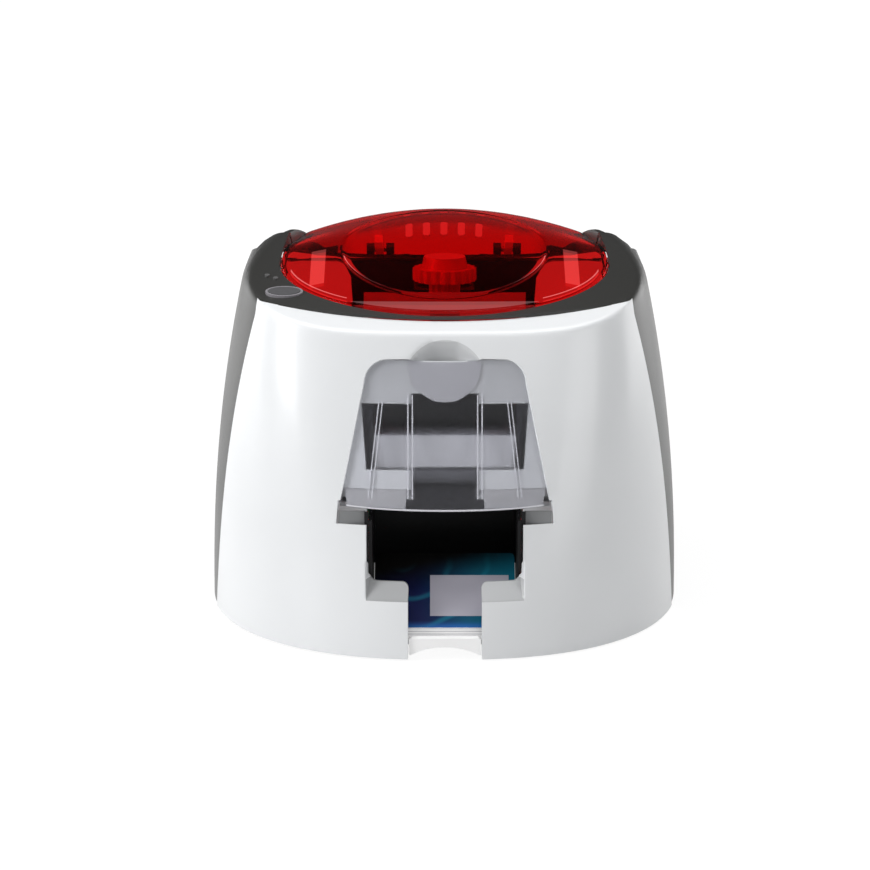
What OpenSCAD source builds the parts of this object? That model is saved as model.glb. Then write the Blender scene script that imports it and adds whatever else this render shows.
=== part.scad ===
// Desktop printer for plastic identity cards.
// +X is the viewer's right, +Y the rear, +Z up; the origin is on the table, under the body's centre.

/* [Body] */
// Overall width at the table
body_w = 304; // [290:1:320]
// Overall depth at the table
body_d = 380; // [365:1:400]
// Height of the closed lid's crown
body_h = 246; // [240:1:252]
// Half-width of the body at its shoulder
shoulder_w = 130; // [124:1:136]
// How far the front face leans back up to the shoulder
front_lean = 43; // [36:1:48]
// How far the back leans forward up to the shoulder
rear_lean = 40; // [30:1:50]
// Wall of the moulded covers
wall = 2.6; // [2:0.1:3.2]
// Gap between neighbouring covers
seam_gap = 0.6; // [0.4:0.1:1]
// How far the charcoal hood stands back from the white front
hood_step = 0.9; // [0.6:0.1:1.5]

/* [Collar and lid] */
// Rise of the lid's crown above the front of the collar
lid_rise = 43; // [40:1:46]
// Rise of the collar for each millimetre towards the rear
collar_slope = 0.267; // [0.24:0.001:0.29]
// Half-width of the lid
lid_w = 103; // [98:1:106]
// Thickness of the clear lid
lid_t = 2.4; // [2:0.1:3]
// Gap between the lid and the collar
lid_gap = 0.7; // [0.5:0.1:1.2]
// Radius of the round panel pressed into the lid
dish_r = 66; // [60:1:70]
// Depth of that panel
dish_depth = 2.2; // [1:0.1:3]
// Number of vent slots in the lid
vent_count = 5; // [3:1:7]
// Width of one vent slot
vent_w = 4.4; // [3:0.1:6]
// Distance between two vent slots
vent_pitch = 11; // [9:0.5:13]

/* [Cards] */
// Length of a card
card_l = 85.6; // [85.4:0.1:85.8]
// Width of a card
card_w = 54; // [53.8:0.1:54.2]
// Thickness of a card
card_t = 0.76; // [0.5:0.01:0.8]
// Cards waiting in the feeder
blank_count = 25; // [5:1:28]
// Cards lying in the output tray
printed_count = 12; // [2:1:14]

/* [Front opening] */
// Half-width of the output window
window_w = 46; // [45:0.5:48]
// Bottom of the output window
window_z = 48; // [44:1:52]
// Half-width of the finger notch
notch_w = 22.4; // [18:0.2:26]
// How far the top of the feeder flap lies below the collar
flap_drop = 21; // [18:1:26]
// Bottom of the feeder flap
flap_z = 93; // [90:1:96]
// Half-width of the flap at its top
flap_top_w = 46; // [42:1:50]
// Half-width of the flap at its bottom
flap_w = 63.4; // [60:0.2:66]
// Thickness of the flap
flap_t = 2.2; // [1.8:0.1:3]

/* [Card drive] */
// Radius of the platen roller
platen_r = 9; // [8:0.5:9.5]
// Radius of the feed rollers
feed_r = 6; // [5.5:0.25:6.5]
// Radius of the steel shafts
shaft_r = 3; // [2.5:0.25:3.5]
// Tooth size of the gears
module_mm = 0.8; // [0.79:0.01:0.81]
// Thickness of the gears
gear_w = 5; // [4:0.5:6]
// Height of the card's path above the table
path_z = 114; // [113:0.5:115]

/* [Details] */
// Height of the rubber feet
foot_h = 3; // [2:0.5:4]
// Radius of the rubber feet
foot_r = 9; // [7:0.5:11]
// Length of the power button
button_l = 20; // [18:0.5:22]
// Width of the power button
button_w = 11.5; // [10:0.5:12]
// Radial clearance of a shaft in its hole
run_fit = 0.05; // [0.02:0.01:0.08]

/* [Hidden] */
$fn = 48;
front = -body_d / 2;
rear = body_d / 2;
tall = 300;
far = 230;

// ---- body form: superellipse rings whose size and squareness change with height ----
collar_z = body_h - lid_rise;
collar_y = front + 50;
ref_z = collar_z + 6;
around = 48;
base_n = 2.35;
top_n = 3.95;
function spow(v, p) = sign(v) * pow(abs(v), p);
function half_w(z) = body_w / 2 - (body_w / 2 - shoulder_w) * pow(max(z, 0) / ref_z, 2.05);
function front_y(z) = -body_d / 2 + front_lean * pow(max(z, 0) / ref_z, 1.55);
function rear_y(z) = body_d / 2 - rear_lean * pow(max(z, 0) / ref_z, 2);
function square_n(z) = base_n + (top_n - base_n) * pow(min(max(z, 0) / ref_z, 1.15), 1.5);
function mid_y(z) = (front_y(z) + rear_y(z)) / 2;
function half_d(z) = (rear_y(z) - front_y(z)) / 2;
function form_x(a, z, g) = (half_w(z) + g) * spow(cos(a), 2 / square_n(z));
function form_y(a, z, g) = mid_y(z) + (half_d(z) + g) * spow(sin(a), 2 / square_n(z));
function tilt_z(a, z, s) = z + s * collar_slope * (form_y(a, z, 0) - collar_y);
function form_pt(a, z, g) = [form_x(a, z, g), form_y(a, z, g), z];
// The hood's shoulders draw in above the collar's front edge, most of all at the ends of its arms
draw_from = collar_z + 7;
draw_run = 28;
draw_in = 21;
function drawn(z) = draw_in * pow(max(0, z - draw_from) / draw_run, 2.2);
function tilt_pt(a, z, s, g) = let (zz = tilt_z(a, z, s), z2 = z + s * collar_slope
    * (form_y(a, zz, 0) - collar_y), h = g - drawn(z2)) [form_x(a, z2, h), form_y(a, z2, h), z2];
function ring_angle(i) = 360 * i / around;
// The face's y at a point of the front, by inverting the ring's equation
function face_y(x, z) = mid_y(z) - half_d(z)
    * pow(1 - pow(min(abs(x) / half_w(z), 1), square_n(z)), 1 / square_n(z));

// Closed skin over rings that all have the same number of points; the ends close on their middles
function middle(r) = [for (k = [0 : 2]) (r[0][k] + r[floor(len(r) / 2)][k]) / 2];
module loft(rings) {
    n = len(rings[0]);
    m = len(rings);
    pts = concat([for (r = rings) each r], [middle(rings[0]), middle(rings[m - 1])]);
    sides = [for (k = [0 : m - 2], i = [0 : n - 1]) let (a = k * n + i, b = k * n + (i + 1) % n)
        each [[a, a + n, b], [b, a + n, b + n]]];
    floor_fan = [for (i = [0 : n - 1]) [i, (i + 1) % n, n * m]];
    roof_fan = [for (i = [0 : n - 1]) [(m - 1) * n + (i + 1) % n, (m - 1) * n + i, n * m + 1]];
    polyhedron(pts, concat(sides, floor_fan, roof_fan));
}

form_levels = [0, 0.067, 0.2, 0.364, 0.526, 0.68, 0.813, 0.909, 0.986, 1.062, 1.254] * ref_z;
module body_form(g) loft([for (z = form_levels) [for (i = [0 : around - 1]) form_pt(ring_angle(i), z, g)]]);
// The front sector of the form alone, over pairs of a height and an offset
module face_loft(levels) loft([for (l = levels) [for (i = [28 : 44]) form_pt(ring_angle(i), l[0], l[1])]]);
face_levels = [0.364, 0.44, 0.6, 0.75, 0.909, 0.986] * ref_z;
module face_form(g) face_loft([for (z = face_levels) [z, g]]);

// The hood's form: its top rings lean into the collar's slope and round over at the edge
hood_levels = [[0, 0, 0], [0.1 * ref_z, 0, 0], [0.27 * ref_z, 0, 0], [0.44 * ref_z, 0, 0],
    [0.61 * ref_z, 0, 0], [0.765 * ref_z, 0.15, 0], [0.85 * ref_z, 0.6, 0], [collar_z - 14, 0.95, 0],
    [collar_z - 5, 1, 0], [collar_z - 1.6, 1, -1.3], [collar_z, 1, -4.5]];
module hood_form(g) loft([for (l = hood_levels)
    [for (i = [0 : around - 1]) tilt_pt(ring_angle(i), l[0], l[1], l[2] + g)]]);

// A prism along X from an outline in Y and Z
module along_x(points, x0, x1) {
    translate([x0, 0, 0]) rotate([90, 0, 90]) linear_extrude(x1 - x0) polygon(points);
}
module axle(x0, x1, y, z, r) {
    translate([x0, y, z]) rotate([0, 90, 0]) cylinder(r = r, h = x1 - x0);
}
module block(x0, x1, y0, y1, z0, z1) {
    translate([x0, y0, z0]) cube([x1 - x0, y1 - y0, z1 - z0]);
}
module card_shape(l, w, r) {
    translate([-l / 2, -w / 2]) union() {
        translate([r, 0]) square([l - 2 * r, w]);
        translate([0, r]) square([l, w - 2 * r]);
        for (x = [r, l - r], y = [r, w - r]) translate([x, y]) circle(r = r);
    }
}

// ---- seam between the white front and the charcoal hood ----
seam_foot = front + 123;
seam_head = front + 73;
function seam_y(z) = seam_head + (seam_foot - seam_head) * pow(1 - min(max(z, 0) / ref_z, 1), 1.6);
seam_steps = 9;
function seam_line(shift) = [for (k = [0 : seam_steps]) let (z = ref_z * k / seam_steps)
    [seam_y(z) + shift, z]];
module front_side(shift) along_x(concat([[-far, -1]], [[seam_foot + shift, -1]], seam_line(shift),
    [[seam_head + shift, tall], [-far, tall]]), -far, far);
module rear_side(shift) along_x(concat([[far, -1]], [[seam_foot + shift, -1]], seam_line(shift),
    [[seam_head + shift, tall], [far, tall]]), -far, far);

// ---- collar, crescent bevel and the hood's falling rear ----
arc_half = shoulder_w - 16.2;
arc_sag = 22;
arc_r = (arc_half * arc_half + arc_sag * arc_sag) / (2 * arc_sag);
collar_end_y = -9;
function collar_at(y) = collar_z + collar_slope * (y - collar_y);
bevel_slope = 0.40;
bevel_z = collar_at(seam_head) - 0.6;
function bevel_at(y) = bevel_z + bevel_slope * (y - seam_head);
arm_step = 16;
deck_z = collar_at(collar_end_y) - arm_step;
deck_fall = 0.2;
function deck_at(y) = deck_z - deck_fall * y;
module under_bevel(drop) along_x([[-far, -2], [far, -2], [far, bevel_at(far) - drop],
    [-far, bevel_at(-far) - drop]], -far, far);
// Everything below the collar's plane, its rounded arm ends and the sloping rear deck
arm_nose = 9;
nose_y = collar_end_y - arm_nose;
nose_z = collar_at(nose_y) - arm_nose / cos(15);
module under_collar(drop) along_x(concat([[-far, -2], [far, -2], [far, deck_at(far) - drop],
    [nose_y + arm_nose, deck_at(nose_y + arm_nose) - drop]],
    [for (a = [90 : -21 : -15]) [nose_y + arm_nose * sin(a), nose_z + arm_nose * cos(a) - drop]],
    [[-far, collar_at(-far) - drop]]), -far, far);
// The part of the front that the collar's front edge covers
module collar_zone(shift) translate([0, collar_y + arc_r, collar_z - 53])
    cylinder(r = arc_r - shift, h = 150, $fn = 180);

// ---- lid outline and dome ----
lid_edge = collar_y + 3;
lid_end = rear - 86;
lid_front = 75;
lid_mid = lid_edge + lid_front;
lid_rear = lid_end - lid_mid;
lid_taper = 0.20;
lid_round = 2.8;
lid_arch = 0.00125;
function lid_x(a, g) = (lid_w + g) * spow(cos(a), 2 / (sin(a) > 0 ? lid_round : 2))
    * (1 - lid_taper * max(sin(a), 0));
function lid_y(a, g) = lid_mid + (sin(a) > 0 ? lid_rear + g : lid_front + g)
    * spow(sin(a), 2 / (sin(a) > 0 ? lid_round : 2));
// Height of the dome along its middle, a smooth crest between the front edge and the rear
crest_y = 6;
edge_rise = 1.3;
end_rise = 9.8;
front_fall = (body_h - collar_at(lid_edge) - edge_rise) / pow(crest_y - lid_edge, 2);
rear_fall = (body_h - deck_at(lid_end) - end_rise) / pow(lid_end - crest_y, 2);
function crown_at(y) = body_h - (y < crest_y ? front_fall : rear_fall) * pow(y - crest_y, 2);
// The dome falls off more steeply to the sides behind its front part
arch_more = 0.0007;
arch_from = collar_y + 95;
arch_run = 50;
function arch_at(y) = let (k = min(max((y - arch_from) / arch_run, 0), 1))
    lid_arch + arch_more * k * k * (3 - 2 * k);
function dome_at(x, y) = crown_at(y) - arch_at(y) * x * x;
lid_steps = 48;
function lid_mix(a, u, g) = let (x = lid_x(a, g), y = lid_y(a, g), r = sqrt(x * x + pow(y - dish_y, 2)))
    [x * (u + (1 - u) * dish_r / r), dish_y + (y - dish_y) * (u + (1 - u) * dish_r / r)];
function lid_ring(u, g, lower) = [for (i = [0 : lid_steps - 1])
    let (p = lid_mix(360 * i / lid_steps, u, g))
    [p[0], p[1], dome_at(p[0], p[1]) - lower]];
function dish_ring(f, lower) = [for (i = [0 : lid_steps - 1]) let (p = lid_mix(360 * i / lid_steps, 0, 0),
    x = p[0] * f, y = dish_y + (p[1] - dish_y) * f) [x, y, dome_at(x, y) - lower]];
skirt = 7;
skirt_dip = 1.5;
skirt_run = 25;
// Lower edge of the lid's skirt: level with the dome in front, down into the deck's opening behind
function skirt_z(x, y) = let (low = dome_at(x, y) - skirt,
    k = min(max((y - collar_end_y) / skirt_run + 1, 0), 1))
    low - k * max(0, low - deck_at(y) + skirt_dip);
function skirt_ring(g) = [for (i = [0 : lid_steps - 1]) let (p = lid_mix(360 * i / lid_steps, 1, g))
    [p[0], p[1], skirt_z(p[0], p[1])]];
module lid_form() loft([dish_ring(0.02, dish_depth), dish_ring(0.5, dish_depth),
    dish_ring(0.94, dish_depth), dish_ring(1, 0), lid_ring(0.25, 0, 0), lid_ring(0.5, 0, 0),
    lid_ring(0.75, 0, 0), lid_ring(0.98, 0, 0.3), lid_ring(1, 0, 1.6), skirt_ring(0), skirt_ring(-lid_t),
    lid_ring(1, -lid_t, lid_t + 1), lid_ring(0.75, -lid_t, lid_t), lid_ring(0.5, 0, lid_t),
    lid_ring(0.25, 0, lid_t), dish_ring(1, lid_t),
    dish_ring(0.94, dish_depth + lid_t), dish_ring(0.5, dish_depth + lid_t),
    dish_ring(0.02, dish_depth + lid_t)]);
function lid_outline(g) = [for (i = [0 : lid_steps - 1]) let (a = 360 * i / lid_steps)
    [lid_x(a, g), lid_y(a, g)]];
module lid_opening(g, z0, z1) translate([0, 0, z0]) linear_extrude(z1 - z0) polygon(lid_outline(g));

// ---- front cut-outs ----
flap_top = collar_z - flap_drop;
flap_round = 14;
flap_bow = 2.5;
recess_z = flap_z - 6;
pivot_z = flap_z + 3;
// Outline of the flap in X and Z, grown by g
module flap_outline(g) {
    polygon(concat([for (k = [-4 : 4]) let (x = k / 4 * (flap_w + g)) [x, flap_z - g
        - flap_bow * (1 - pow(k / 4, 2))]],
        [for (a = [0 : 18 : 90]) [flap_top_w - flap_round + (flap_round + g) * cos(a),
            flap_top - flap_round + (flap_round + g) * sin(a)]],
        [for (a = [90 : 18 : 180]) [-flap_top_w + flap_round + (flap_round + g) * cos(a),
            flap_top - flap_round + (flap_round + g) * sin(a)]]));
}
module face_prism() rotate([90, 0, 0]) translate([0, 0, 40]) linear_extrude(180) children();

// ---- card drive: places of the axles in Y and Z ----
plate_x = 52;
plate_t = 2;
gear_x = plate_x + plate_t + 1;
drive_x = gear_x + gear_w + 1;
shaft_end = drive_x + gear_w;
pulley_x = -plate_x - plate_t - 1;
pick_r = 7;
nip = 0.9;
feed_teeth = 14;
platen_teeth = 21;
idler_teeth = 20;
drive_teeth = 40;
motor_teeth = 12;
function pitch_r(n) = n * module_mm / 2;
stack_y = front + 30;
pick_at = [stack_y + 40, path_z - pick_r - 0.3];
feed_at = [pick_at[0] + 36, path_z - feed_r - 0.1];
platen_at = [feed_at[0] + 26, path_z - platen_r - 0.1];
back_at = [platen_at[0] + 28, path_z - feed_r - 0.1];
exit_at = [feed_at[0] - 9, path_z - 30];
knob_y = platen_at[0];
dish_y = knob_y;
pinch_r = 5;
cleaner_r = 5;
function above(p) = [p[0], path_z + nip + pinch_r];
cleaner_at = [feed_at[0] - 12, path_z + nip + cleaner_r];
spool_z = path_z + 46;
supply_at = [feed_at[0] - 14, spool_z];
takeup_at = [back_at[0] + 12, spool_z];
flange_gap = 3;
flange_r2 = 17;
supply_r = 16;
takeup_r = 12;
function turn(p, q) = atan2(q[1] - p[1], q[0] - p[0]);
// Centre of a wheel that meshes with two others, on the given side of the line between them
function between(p, rp, q, rq, side) = let (d = norm(q - p), a = (rp * rp - rq * rq + d * d) / (2 * d),
    h = side * sqrt(max(rp * rp - a * a, 0)), u = (q - p) / d) p + a * u + h * [-u[1], u[0]];
mesh_fi = pitch_r(feed_teeth + idler_teeth);
mesh_pi = pitch_r(platen_teeth + idler_teeth);
feed_idler_at = between(feed_at, mesh_fi, platen_at, mesh_pi, 1);
back_idler_at = between(platen_at, mesh_pi, back_at, mesh_fi, 1);
exit_idler_at = between(exit_at, mesh_fi, feed_at, mesh_fi, 1);
motor_turn = -60;
motor_at = platen_at + pitch_r(drive_teeth + motor_teeth) * [cos(motor_turn), sin(motor_turn)];
// Phase of a wheel that meshes with another whose phase is known
function phase(p, n, ph, q, m) = let (a = turn(p, q)) a + 180 + 180 / m + (a - ph) * n / m;
platen_phase = 0;
feed_idler_phase = phase(platen_at, platen_teeth, platen_phase, feed_idler_at, idler_teeth);
back_idler_phase = phase(platen_at, platen_teeth, platen_phase, back_idler_at, idler_teeth);
feed_phase = phase(feed_idler_at, idler_teeth, feed_idler_phase, feed_at, feed_teeth);
back_phase = phase(back_idler_at, idler_teeth, back_idler_phase, back_at, feed_teeth);
exit_idler_phase = phase(feed_at, feed_teeth, feed_phase, exit_idler_at, idler_teeth);
exit_phase = phase(exit_idler_at, idler_teeth, exit_idler_phase, exit_at, feed_teeth);
motor_phase = phase(platen_at, drive_teeth, platen_phase, motor_at, motor_teeth);

// A spur gear on an axle along X; its teeth are straight-sided with backlash
backlash = 0.12;
module gear(at, x0, n, ph, bore = 0) {
    r = pitch_r(n);
    tip = r + 0.9 * module_mm;
    root = r - 1.15 * module_mm;
    half = 90 / n - backlash / r * 30;
    translate([x0, at[0], at[1]]) rotate([90, 0, 90]) difference() {
        linear_extrude(gear_w) polygon([for (k = [0 : n - 1], q = [[root, -1.55], [r, -1], [tip, -0.45],
            [tip, 0.45], [r, 1], [root, 1.55]]) let (a = ph + k * 360 / n + q[1] * half)
            q[0] * [cos(a), sin(a)]]);
        if (bore > 0) translate([0, 0, -1]) cylinder(r = bore, h = gear_w + 2);
    }
}
module at_axle(p, x0, x1, r) axle(x0, x1, p[0], p[1], r);

// ---- mouldings ----
tray_gap = hood_step + wall + 1.1;
rim_w = 2.4;
rim_h = 12;
floor_t = 3;
deck_top = foot_h + floor_t;
board_z = deck_top + 8;
board_y = rear - 118;
board_l = 94;
board_x = [-62, 72];
post_xs = [board_x[0] + 8, board_x[1] - 8];
post_ys = [board_y + 4, board_y + board_l - 8];
usb_x = 20;
inlet_x = 45;
pocket_y = rear - 14;
pocket_x = [usb_x - 14, inlet_x + 15];
pocket_z = [board_z - 4, board_z + 21];
pocket_t = wall;
function base_outline(g) = [for (i = [0 : around - 1]) let (a = ring_angle(i))
    [form_x(a, 0, g), form_y(a, 0, g)]];
module slab(g, z0, z1) translate([0, 0, z0]) linear_extrude(z1 - z0) polygon(base_outline(g));
module base_tray() color("gainsboro") difference() {
    union() {
        slab(-tray_gap, foot_h, deck_top);
        difference() {
            slab(-tray_gap, foot_h, foot_h + rim_h);
            slab(-tray_gap - rim_w, foot_h, foot_h + rim_h + 1);
        }
        for (x = post_xs, y = post_ys) translate([x, y, foot_h]) cylinder(r = 3, h = board_z - foot_h);
    }
    block(-notch_w - 2, notch_w + 2, front - 1, front + 28, -1, foot_h + rim_h + 1);
    block(pocket_x[0] - pocket_t - 0.5, pocket_x[1] + pocket_t + 0.5, pocket_y - 3, rear + 1,
        deck_top, foot_h + rim_h + 1);
}
foot_x = body_w / 2 - 48;
foot_y = rear - 62;
module rubber_feet() color("black") for (x = [-foot_x, foot_x], y = [22 - foot_y, foot_y])
    translate([x, y, 0]) cylinder(r = foot_r, h = foot_h);

shell_foot = foot_h / 2;
boss_x = flap_w + 1.4;
boss_l = 5;
boss_r = 3.6;
pivot_y = front_y(pivot_z) + 9.65;
pin_r = 1.5;
// The white front ends in a plain band below the collar's curved edge
front_zone_z = bevel_at(seam_head - 33) - 3;
module front_zone() union() {
    block(-far, far, -far, far, shell_foot, front_zone_z);
    difference() {
        block(-far, far, -far, far, collar_z - 53, tall);
        collar_zone(0);
    }
}
// The finger scoop is a shallow slice of a ball, square to the leaning face
scoop_r = 33;
scoop_ball = 140;
scoop_z = flap_top - 22.5;
scoop_lean = atan((front_y(scoop_z + 5) - front_y(scoop_z - 5)) / 10);
module scoop() translate([0, front_y(scoop_z), scoop_z]) rotate([-scoop_lean, 0, 0])
    translate([0, -sqrt(scoop_ball * scoop_ball - scoop_r * scoop_r), 0]) sphere(r = scoop_ball, $fn = 96);
module pivot_boss(side) axle(side > 0 ? boss_x : -boss_x - boss_l, side > 0 ? boss_x + boss_l : -boss_x,
    pivot_y, pivot_z, boss_r);

// The flap lies in a recess of the shell, whose floor is open in front of the cards
flap_seam = 0.5;
recess_gap = 0.9;
recess_side = 1;
recess_t = 2;
recess_floor = flap_t + recess_gap;
slot_top = flap_top - 28;
slot_side = 3;
module slot_outline() intersection() {
    flap_outline(-slot_side);
    translate([-far, 0]) square([2 * far, slot_top]);
}
module flap_recess() intersection() {
    difference() {
        face_form(-0.8);
        face_form(-recess_floor - recess_t);
    }
    face_prism() flap_outline(flap_seam + recess_t);
    block(-far, far, -far, 0, pivot_z + boss_r + 4, tall);
}
module recess_cut() {
    face_prism() slot_outline();
    intersection() {
        face_prism() flap_outline(flap_seam);
        difference() {
            block(-far, far, -far, 0, 0, tall);
            face_form(-recess_floor);
        }
    }
    face_prism() intersection() {
        flap_outline(flap_seam);
        translate([-far, 0]) square([2 * far, pivot_z + boss_r + 4.01]);
    }
}

// Below the window the face slopes inward to the sill, on both sides of the finger notch
ramp_z = window_z - 11;
ramp_depth = 7;
window_round = 5;
notch_round = 4;
module ramp_skin(g) face_loft([[ramp_z - 8, g], [ramp_z, g], [window_z + 0.4, g - ramp_depth],
    [window_z + 8, g - ramp_depth]]);
module sill() difference() {
    intersection() {
        face_loft([[ramp_z - 8, -0.8], [window_z + 8, -0.8]]);
        block(-window_w - wall, window_w + wall, -far, 0, ramp_z - 4, window_z + window_round);
    }
    ramp_skin(-wall);
}
module sill_cut() difference() {
    block(-window_w, window_w, -far, 0, ramp_z, window_z + window_round);
    ramp_skin(0);
}
module window_outline() {
    translate([-window_w, window_z + window_round])
        square([2 * window_w, flap_z - window_z - window_round + 5]);
    translate([window_round - window_w, window_z]) square([2 * (window_w - window_round), 2 * window_round]);
    for (s = [-1, 1]) translate([s * (window_w - window_round), window_z + window_round])
        circle(r = window_round);
    translate([-notch_w, -5]) square([2 * notch_w, window_z + 10]);
    for (s = [-1, 1]) difference() {
        translate([s * (notch_w + notch_round / 2 - 0.1), window_z]) square(notch_round + 0.2, center = true);
        translate([s * (notch_w + notch_round), window_z - notch_round]) circle(r = notch_round);
    }
}
module front_shell() color("whitesmoke") difference() {
    union() {
        difference() {
            intersection() {
                body_form(0);
                under_bevel(0);
                front_side(0);
                front_zone();
            }
            intersection() {
                body_form(-wall);
                under_bevel(wall);
                block(-far, far, -far, far, -5, tall);
            }
        }
        intersection() {
            face_form(-0.8);
            union() {
                pivot_boss(1);
                pivot_boss(-1);
            }
        }
        flap_recess();
        sill();
    }
    recess_cut();
    scoop();
    face_prism() translate([-flap_w - recess_side, recess_z])
        square([2 * (flap_w + recess_side), flap_z - recess_z + 6]);
    sill_cut();
    face_prism() window_outline();
    axle(-boss_x - boss_l + 1, boss_x + boss_l - 1, pivot_y, pivot_z, pin_r + 0.02);
}
button_at = [4.2 - lid_w, collar_y + 34];
light_at = [[-lid_w - 7.5, collar_y + 58], [-lid_w - 2, collar_y + 54]];
collar_tilt = atan(collar_slope);
module on_collar(p) translate([p[0], p[1], collar_at(p[1])]) rotate([collar_tilt, 0, 0]) children();
module oval(l, w) polygon([for (a = [0 : 10 : 350]) [l / 2 * cos(a), w / 2 * sin(a)]]);
ring_wide = 1.6;
light_r = 1.6;
rear_split = rear - 98;
module cover_skin() difference() {
    intersection() {
        hood_form(-hood_step);
        under_collar(0);
    }
    intersection() {
        hood_form(-hood_step - wall);
        under_collar(wall);
    }
}
module hood() color("#41413e") difference() {
    intersection() {
        cover_skin();
        union() {
            intersection() {
                rear_side(seam_gap);
                block(-far, far, -far, rear_split, shell_foot, tall);
            }
            intersection() {
                collar_zone(seam_gap);
                block(-far, far, -far, rear_split, front_zone_z + seam_gap, tall);
            }
        }
    }
    lid_opening(lid_gap, collar_z - 53, tall);
    on_collar(button_at) translate([0, 0, -12]) linear_extrude(24)
        oval(button_l + 2 * ring_wide + 0.2, button_w + 2 * ring_wide + 0.2);
    for (p = light_at) on_collar(p) translate([0, 0, -9]) cylinder(r = light_r + 0.1, h = 18);
}
module rear_pocket() intersection() {
    hood_form(-hood_step);
    difference() {
        block(pocket_x[0] - pocket_t, pocket_x[1] + pocket_t, pocket_y - 2, rear + 10,
            pocket_z[0] - pocket_t, pocket_z[1] + pocket_t);
        block(pocket_x[0], pocket_x[1], pocket_y + 0.6, rear + 11, pocket_z[0], pocket_z[1]);
    }
}
hinge_y = rear - 79;
hinge_z = deck_at(hinge_y) + 4.6;
hinge_pin_r = 2;
lug_xs = [34, 47.6];
lug_w = 5.4;
lug_r = 4.4;
module hinge_lug(x) union() {
    axle(x, x + lug_w, hinge_y, hinge_z, lug_r);
    block(x, x + lug_w, hinge_y - lug_r, hinge_y + lug_r, deck_at(hinge_y) - 2, hinge_z);
}
rear_vents = 9;
vent_step = 10;
vent_z = [path_z + 6, path_z + 36];
module rear_vent(k) translate([(k - (rear_vents - 1) / 2) * vent_step, 0, 0])
    block(-3, 3, rear - 40, rear + 10, vent_z[0], vent_z[1]);
module port_hole(x) block(x - 6.4, x + 6.4, pocket_y - 3, pocket_y + 2, board_z + 1.4, board_z + 13.2);
module rear_cover() color("#41413e") difference() {
    union() {
        difference() {
            intersection() {
                cover_skin();
                block(-far, far, rear_split + seam_gap, far, shell_foot, tall);
            }
            block(pocket_x[0] - 1, pocket_x[1] + 1, rear - 40, rear + 10, pocket_z[0] - 1, pocket_z[1] + 1);
            for (k = [0 : rear_vents - 1]) rear_vent(k);
        }
        rear_pocket();
        for (x = lug_xs) {
            hinge_lug(x);
            hinge_lug(-x - lug_w);
        }
    }
    lid_opening(lid_gap, collar_z - 53, tall);
    for (s = [-1, 1]) axle(s > 0 ? 30 : -60, s > 0 ? 60 : -30, hinge_y, hinge_z, hinge_pin_r + 0.02);
    port_hole(usb_x);
    port_hole(inlet_x);
}

// ---- card handling mouldings ----
side_gap = 0.8;
channel_w = card_l / 2 + side_gap;
hopper_t = 2;
hopper_x = channel_w + 0.4;
hopper_top = flap_z - 1;
flap_sweep_z = flap_z - 9;
tray_tilt = 42;
tray_y = stack_y - 16;
tray_z = deck_top + 6.5;
tray_t = 2.2;
function tray_at(d, up) = [tray_y + d * cos(tray_tilt) - up * sin(tray_tilt),
    tray_z + d * sin(tray_tilt) + up * cos(tray_tilt)];
hopper_back = tray_at(card_w - 1, -tray_t)[0] + 0.4;
// The hopper's walls stand clear of the sill behind the window's lower edge
sill_back = face_y(window_w, window_z) + ramp_depth + wall + 0.6;
module hopper_wall(x) along_x([[sill_back, deck_top], [plate_front, deck_top], [plate_front, hopper_top],
    [stack_y + 10, hopper_top], [stack_y + 4, flap_sweep_z], [stack_y - 14, flap_sweep_z],
    [stack_y - 14, window_z + window_round + 1], [sill_back, window_z + window_round + 1]], x, x + hopper_t);
module hopper_box() color("#1b1b1d") union() {
    hopper_wall(hopper_x);
    hopper_wall(-hopper_x - hopper_t);
    block(-hopper_x - 0.5, hopper_x + 0.5, hopper_back, hopper_back + hopper_t, deck_top,
        tray_at(card_w - 1, -tray_t)[1]);
    block(-hopper_x - 0.5, hopper_x + 0.5, plate_front, plate_front + hopper_t, deck_top, exit_at[1] - 12);
}
lip_top = tray_z + 2.5;
lip_t = 2.4;
lip_y = front + 3;
lip_round = 1.6;
arch_r = 47;
arch_top = deck_top + 2.5;
rail_x = [38, 40];
module tray_rail(side) along_x([tray_at(8, -tray_t - 0.1), [tray_y + 14, deck_top], [tray_y + 32, deck_top],
    tray_at(44, -tray_t - 0.1), tray_at(44, -1), tray_at(8, -1)],
    side > 0 ? rail_x[0] : -rail_x[1], side > 0 ? rail_x[1] : -rail_x[0]);
module output_tray() color("white") difference() {
    union() {
        along_x([tray_at(-1.5, -tray_t), tray_at(card_w - 1, -tray_t), tray_at(card_w - 1, 0),
            tray_at(-1.5, 0)], 0.2 - channel_w, channel_w - 0.2);
        along_x([[lip_y, foot_h + 0.6], [lip_y + lip_t, foot_h + 0.6], [lip_y + lip_t, tray_z - 3],
            tray_at(0, -tray_t), tray_at(-1.5, 0), [lip_y + lip_t, lip_top], [lip_y + 1, lip_top + 0.3],
            [lip_y, lip_top - 1]], 0.6 - notch_w, notch_w - 0.6);
        tray_rail(1);
        tray_rail(-1);
    }
    translate([0, tray_y + 6, arch_top - arch_r]) rotate([90, 0, 0]) cylinder(r = arch_r, h = 30, $fn = 120);
    for (s = [-1, 1]) translate([s * (notch_w - 0.6), tray_y, lip_top + 0.3]) rotate([90, 45, 0])
        cube([2 * lip_round, 2 * lip_round, 40], center = true);
}
printed_gap = 0.02;
card_round = 3.18;
module card_stack(n) for (k = [0 : n - 1]) translate([0, 0, k * (card_t + printed_gap)])
    linear_extrude(card_t) card_shape(card_l, card_w, card_round);
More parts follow.
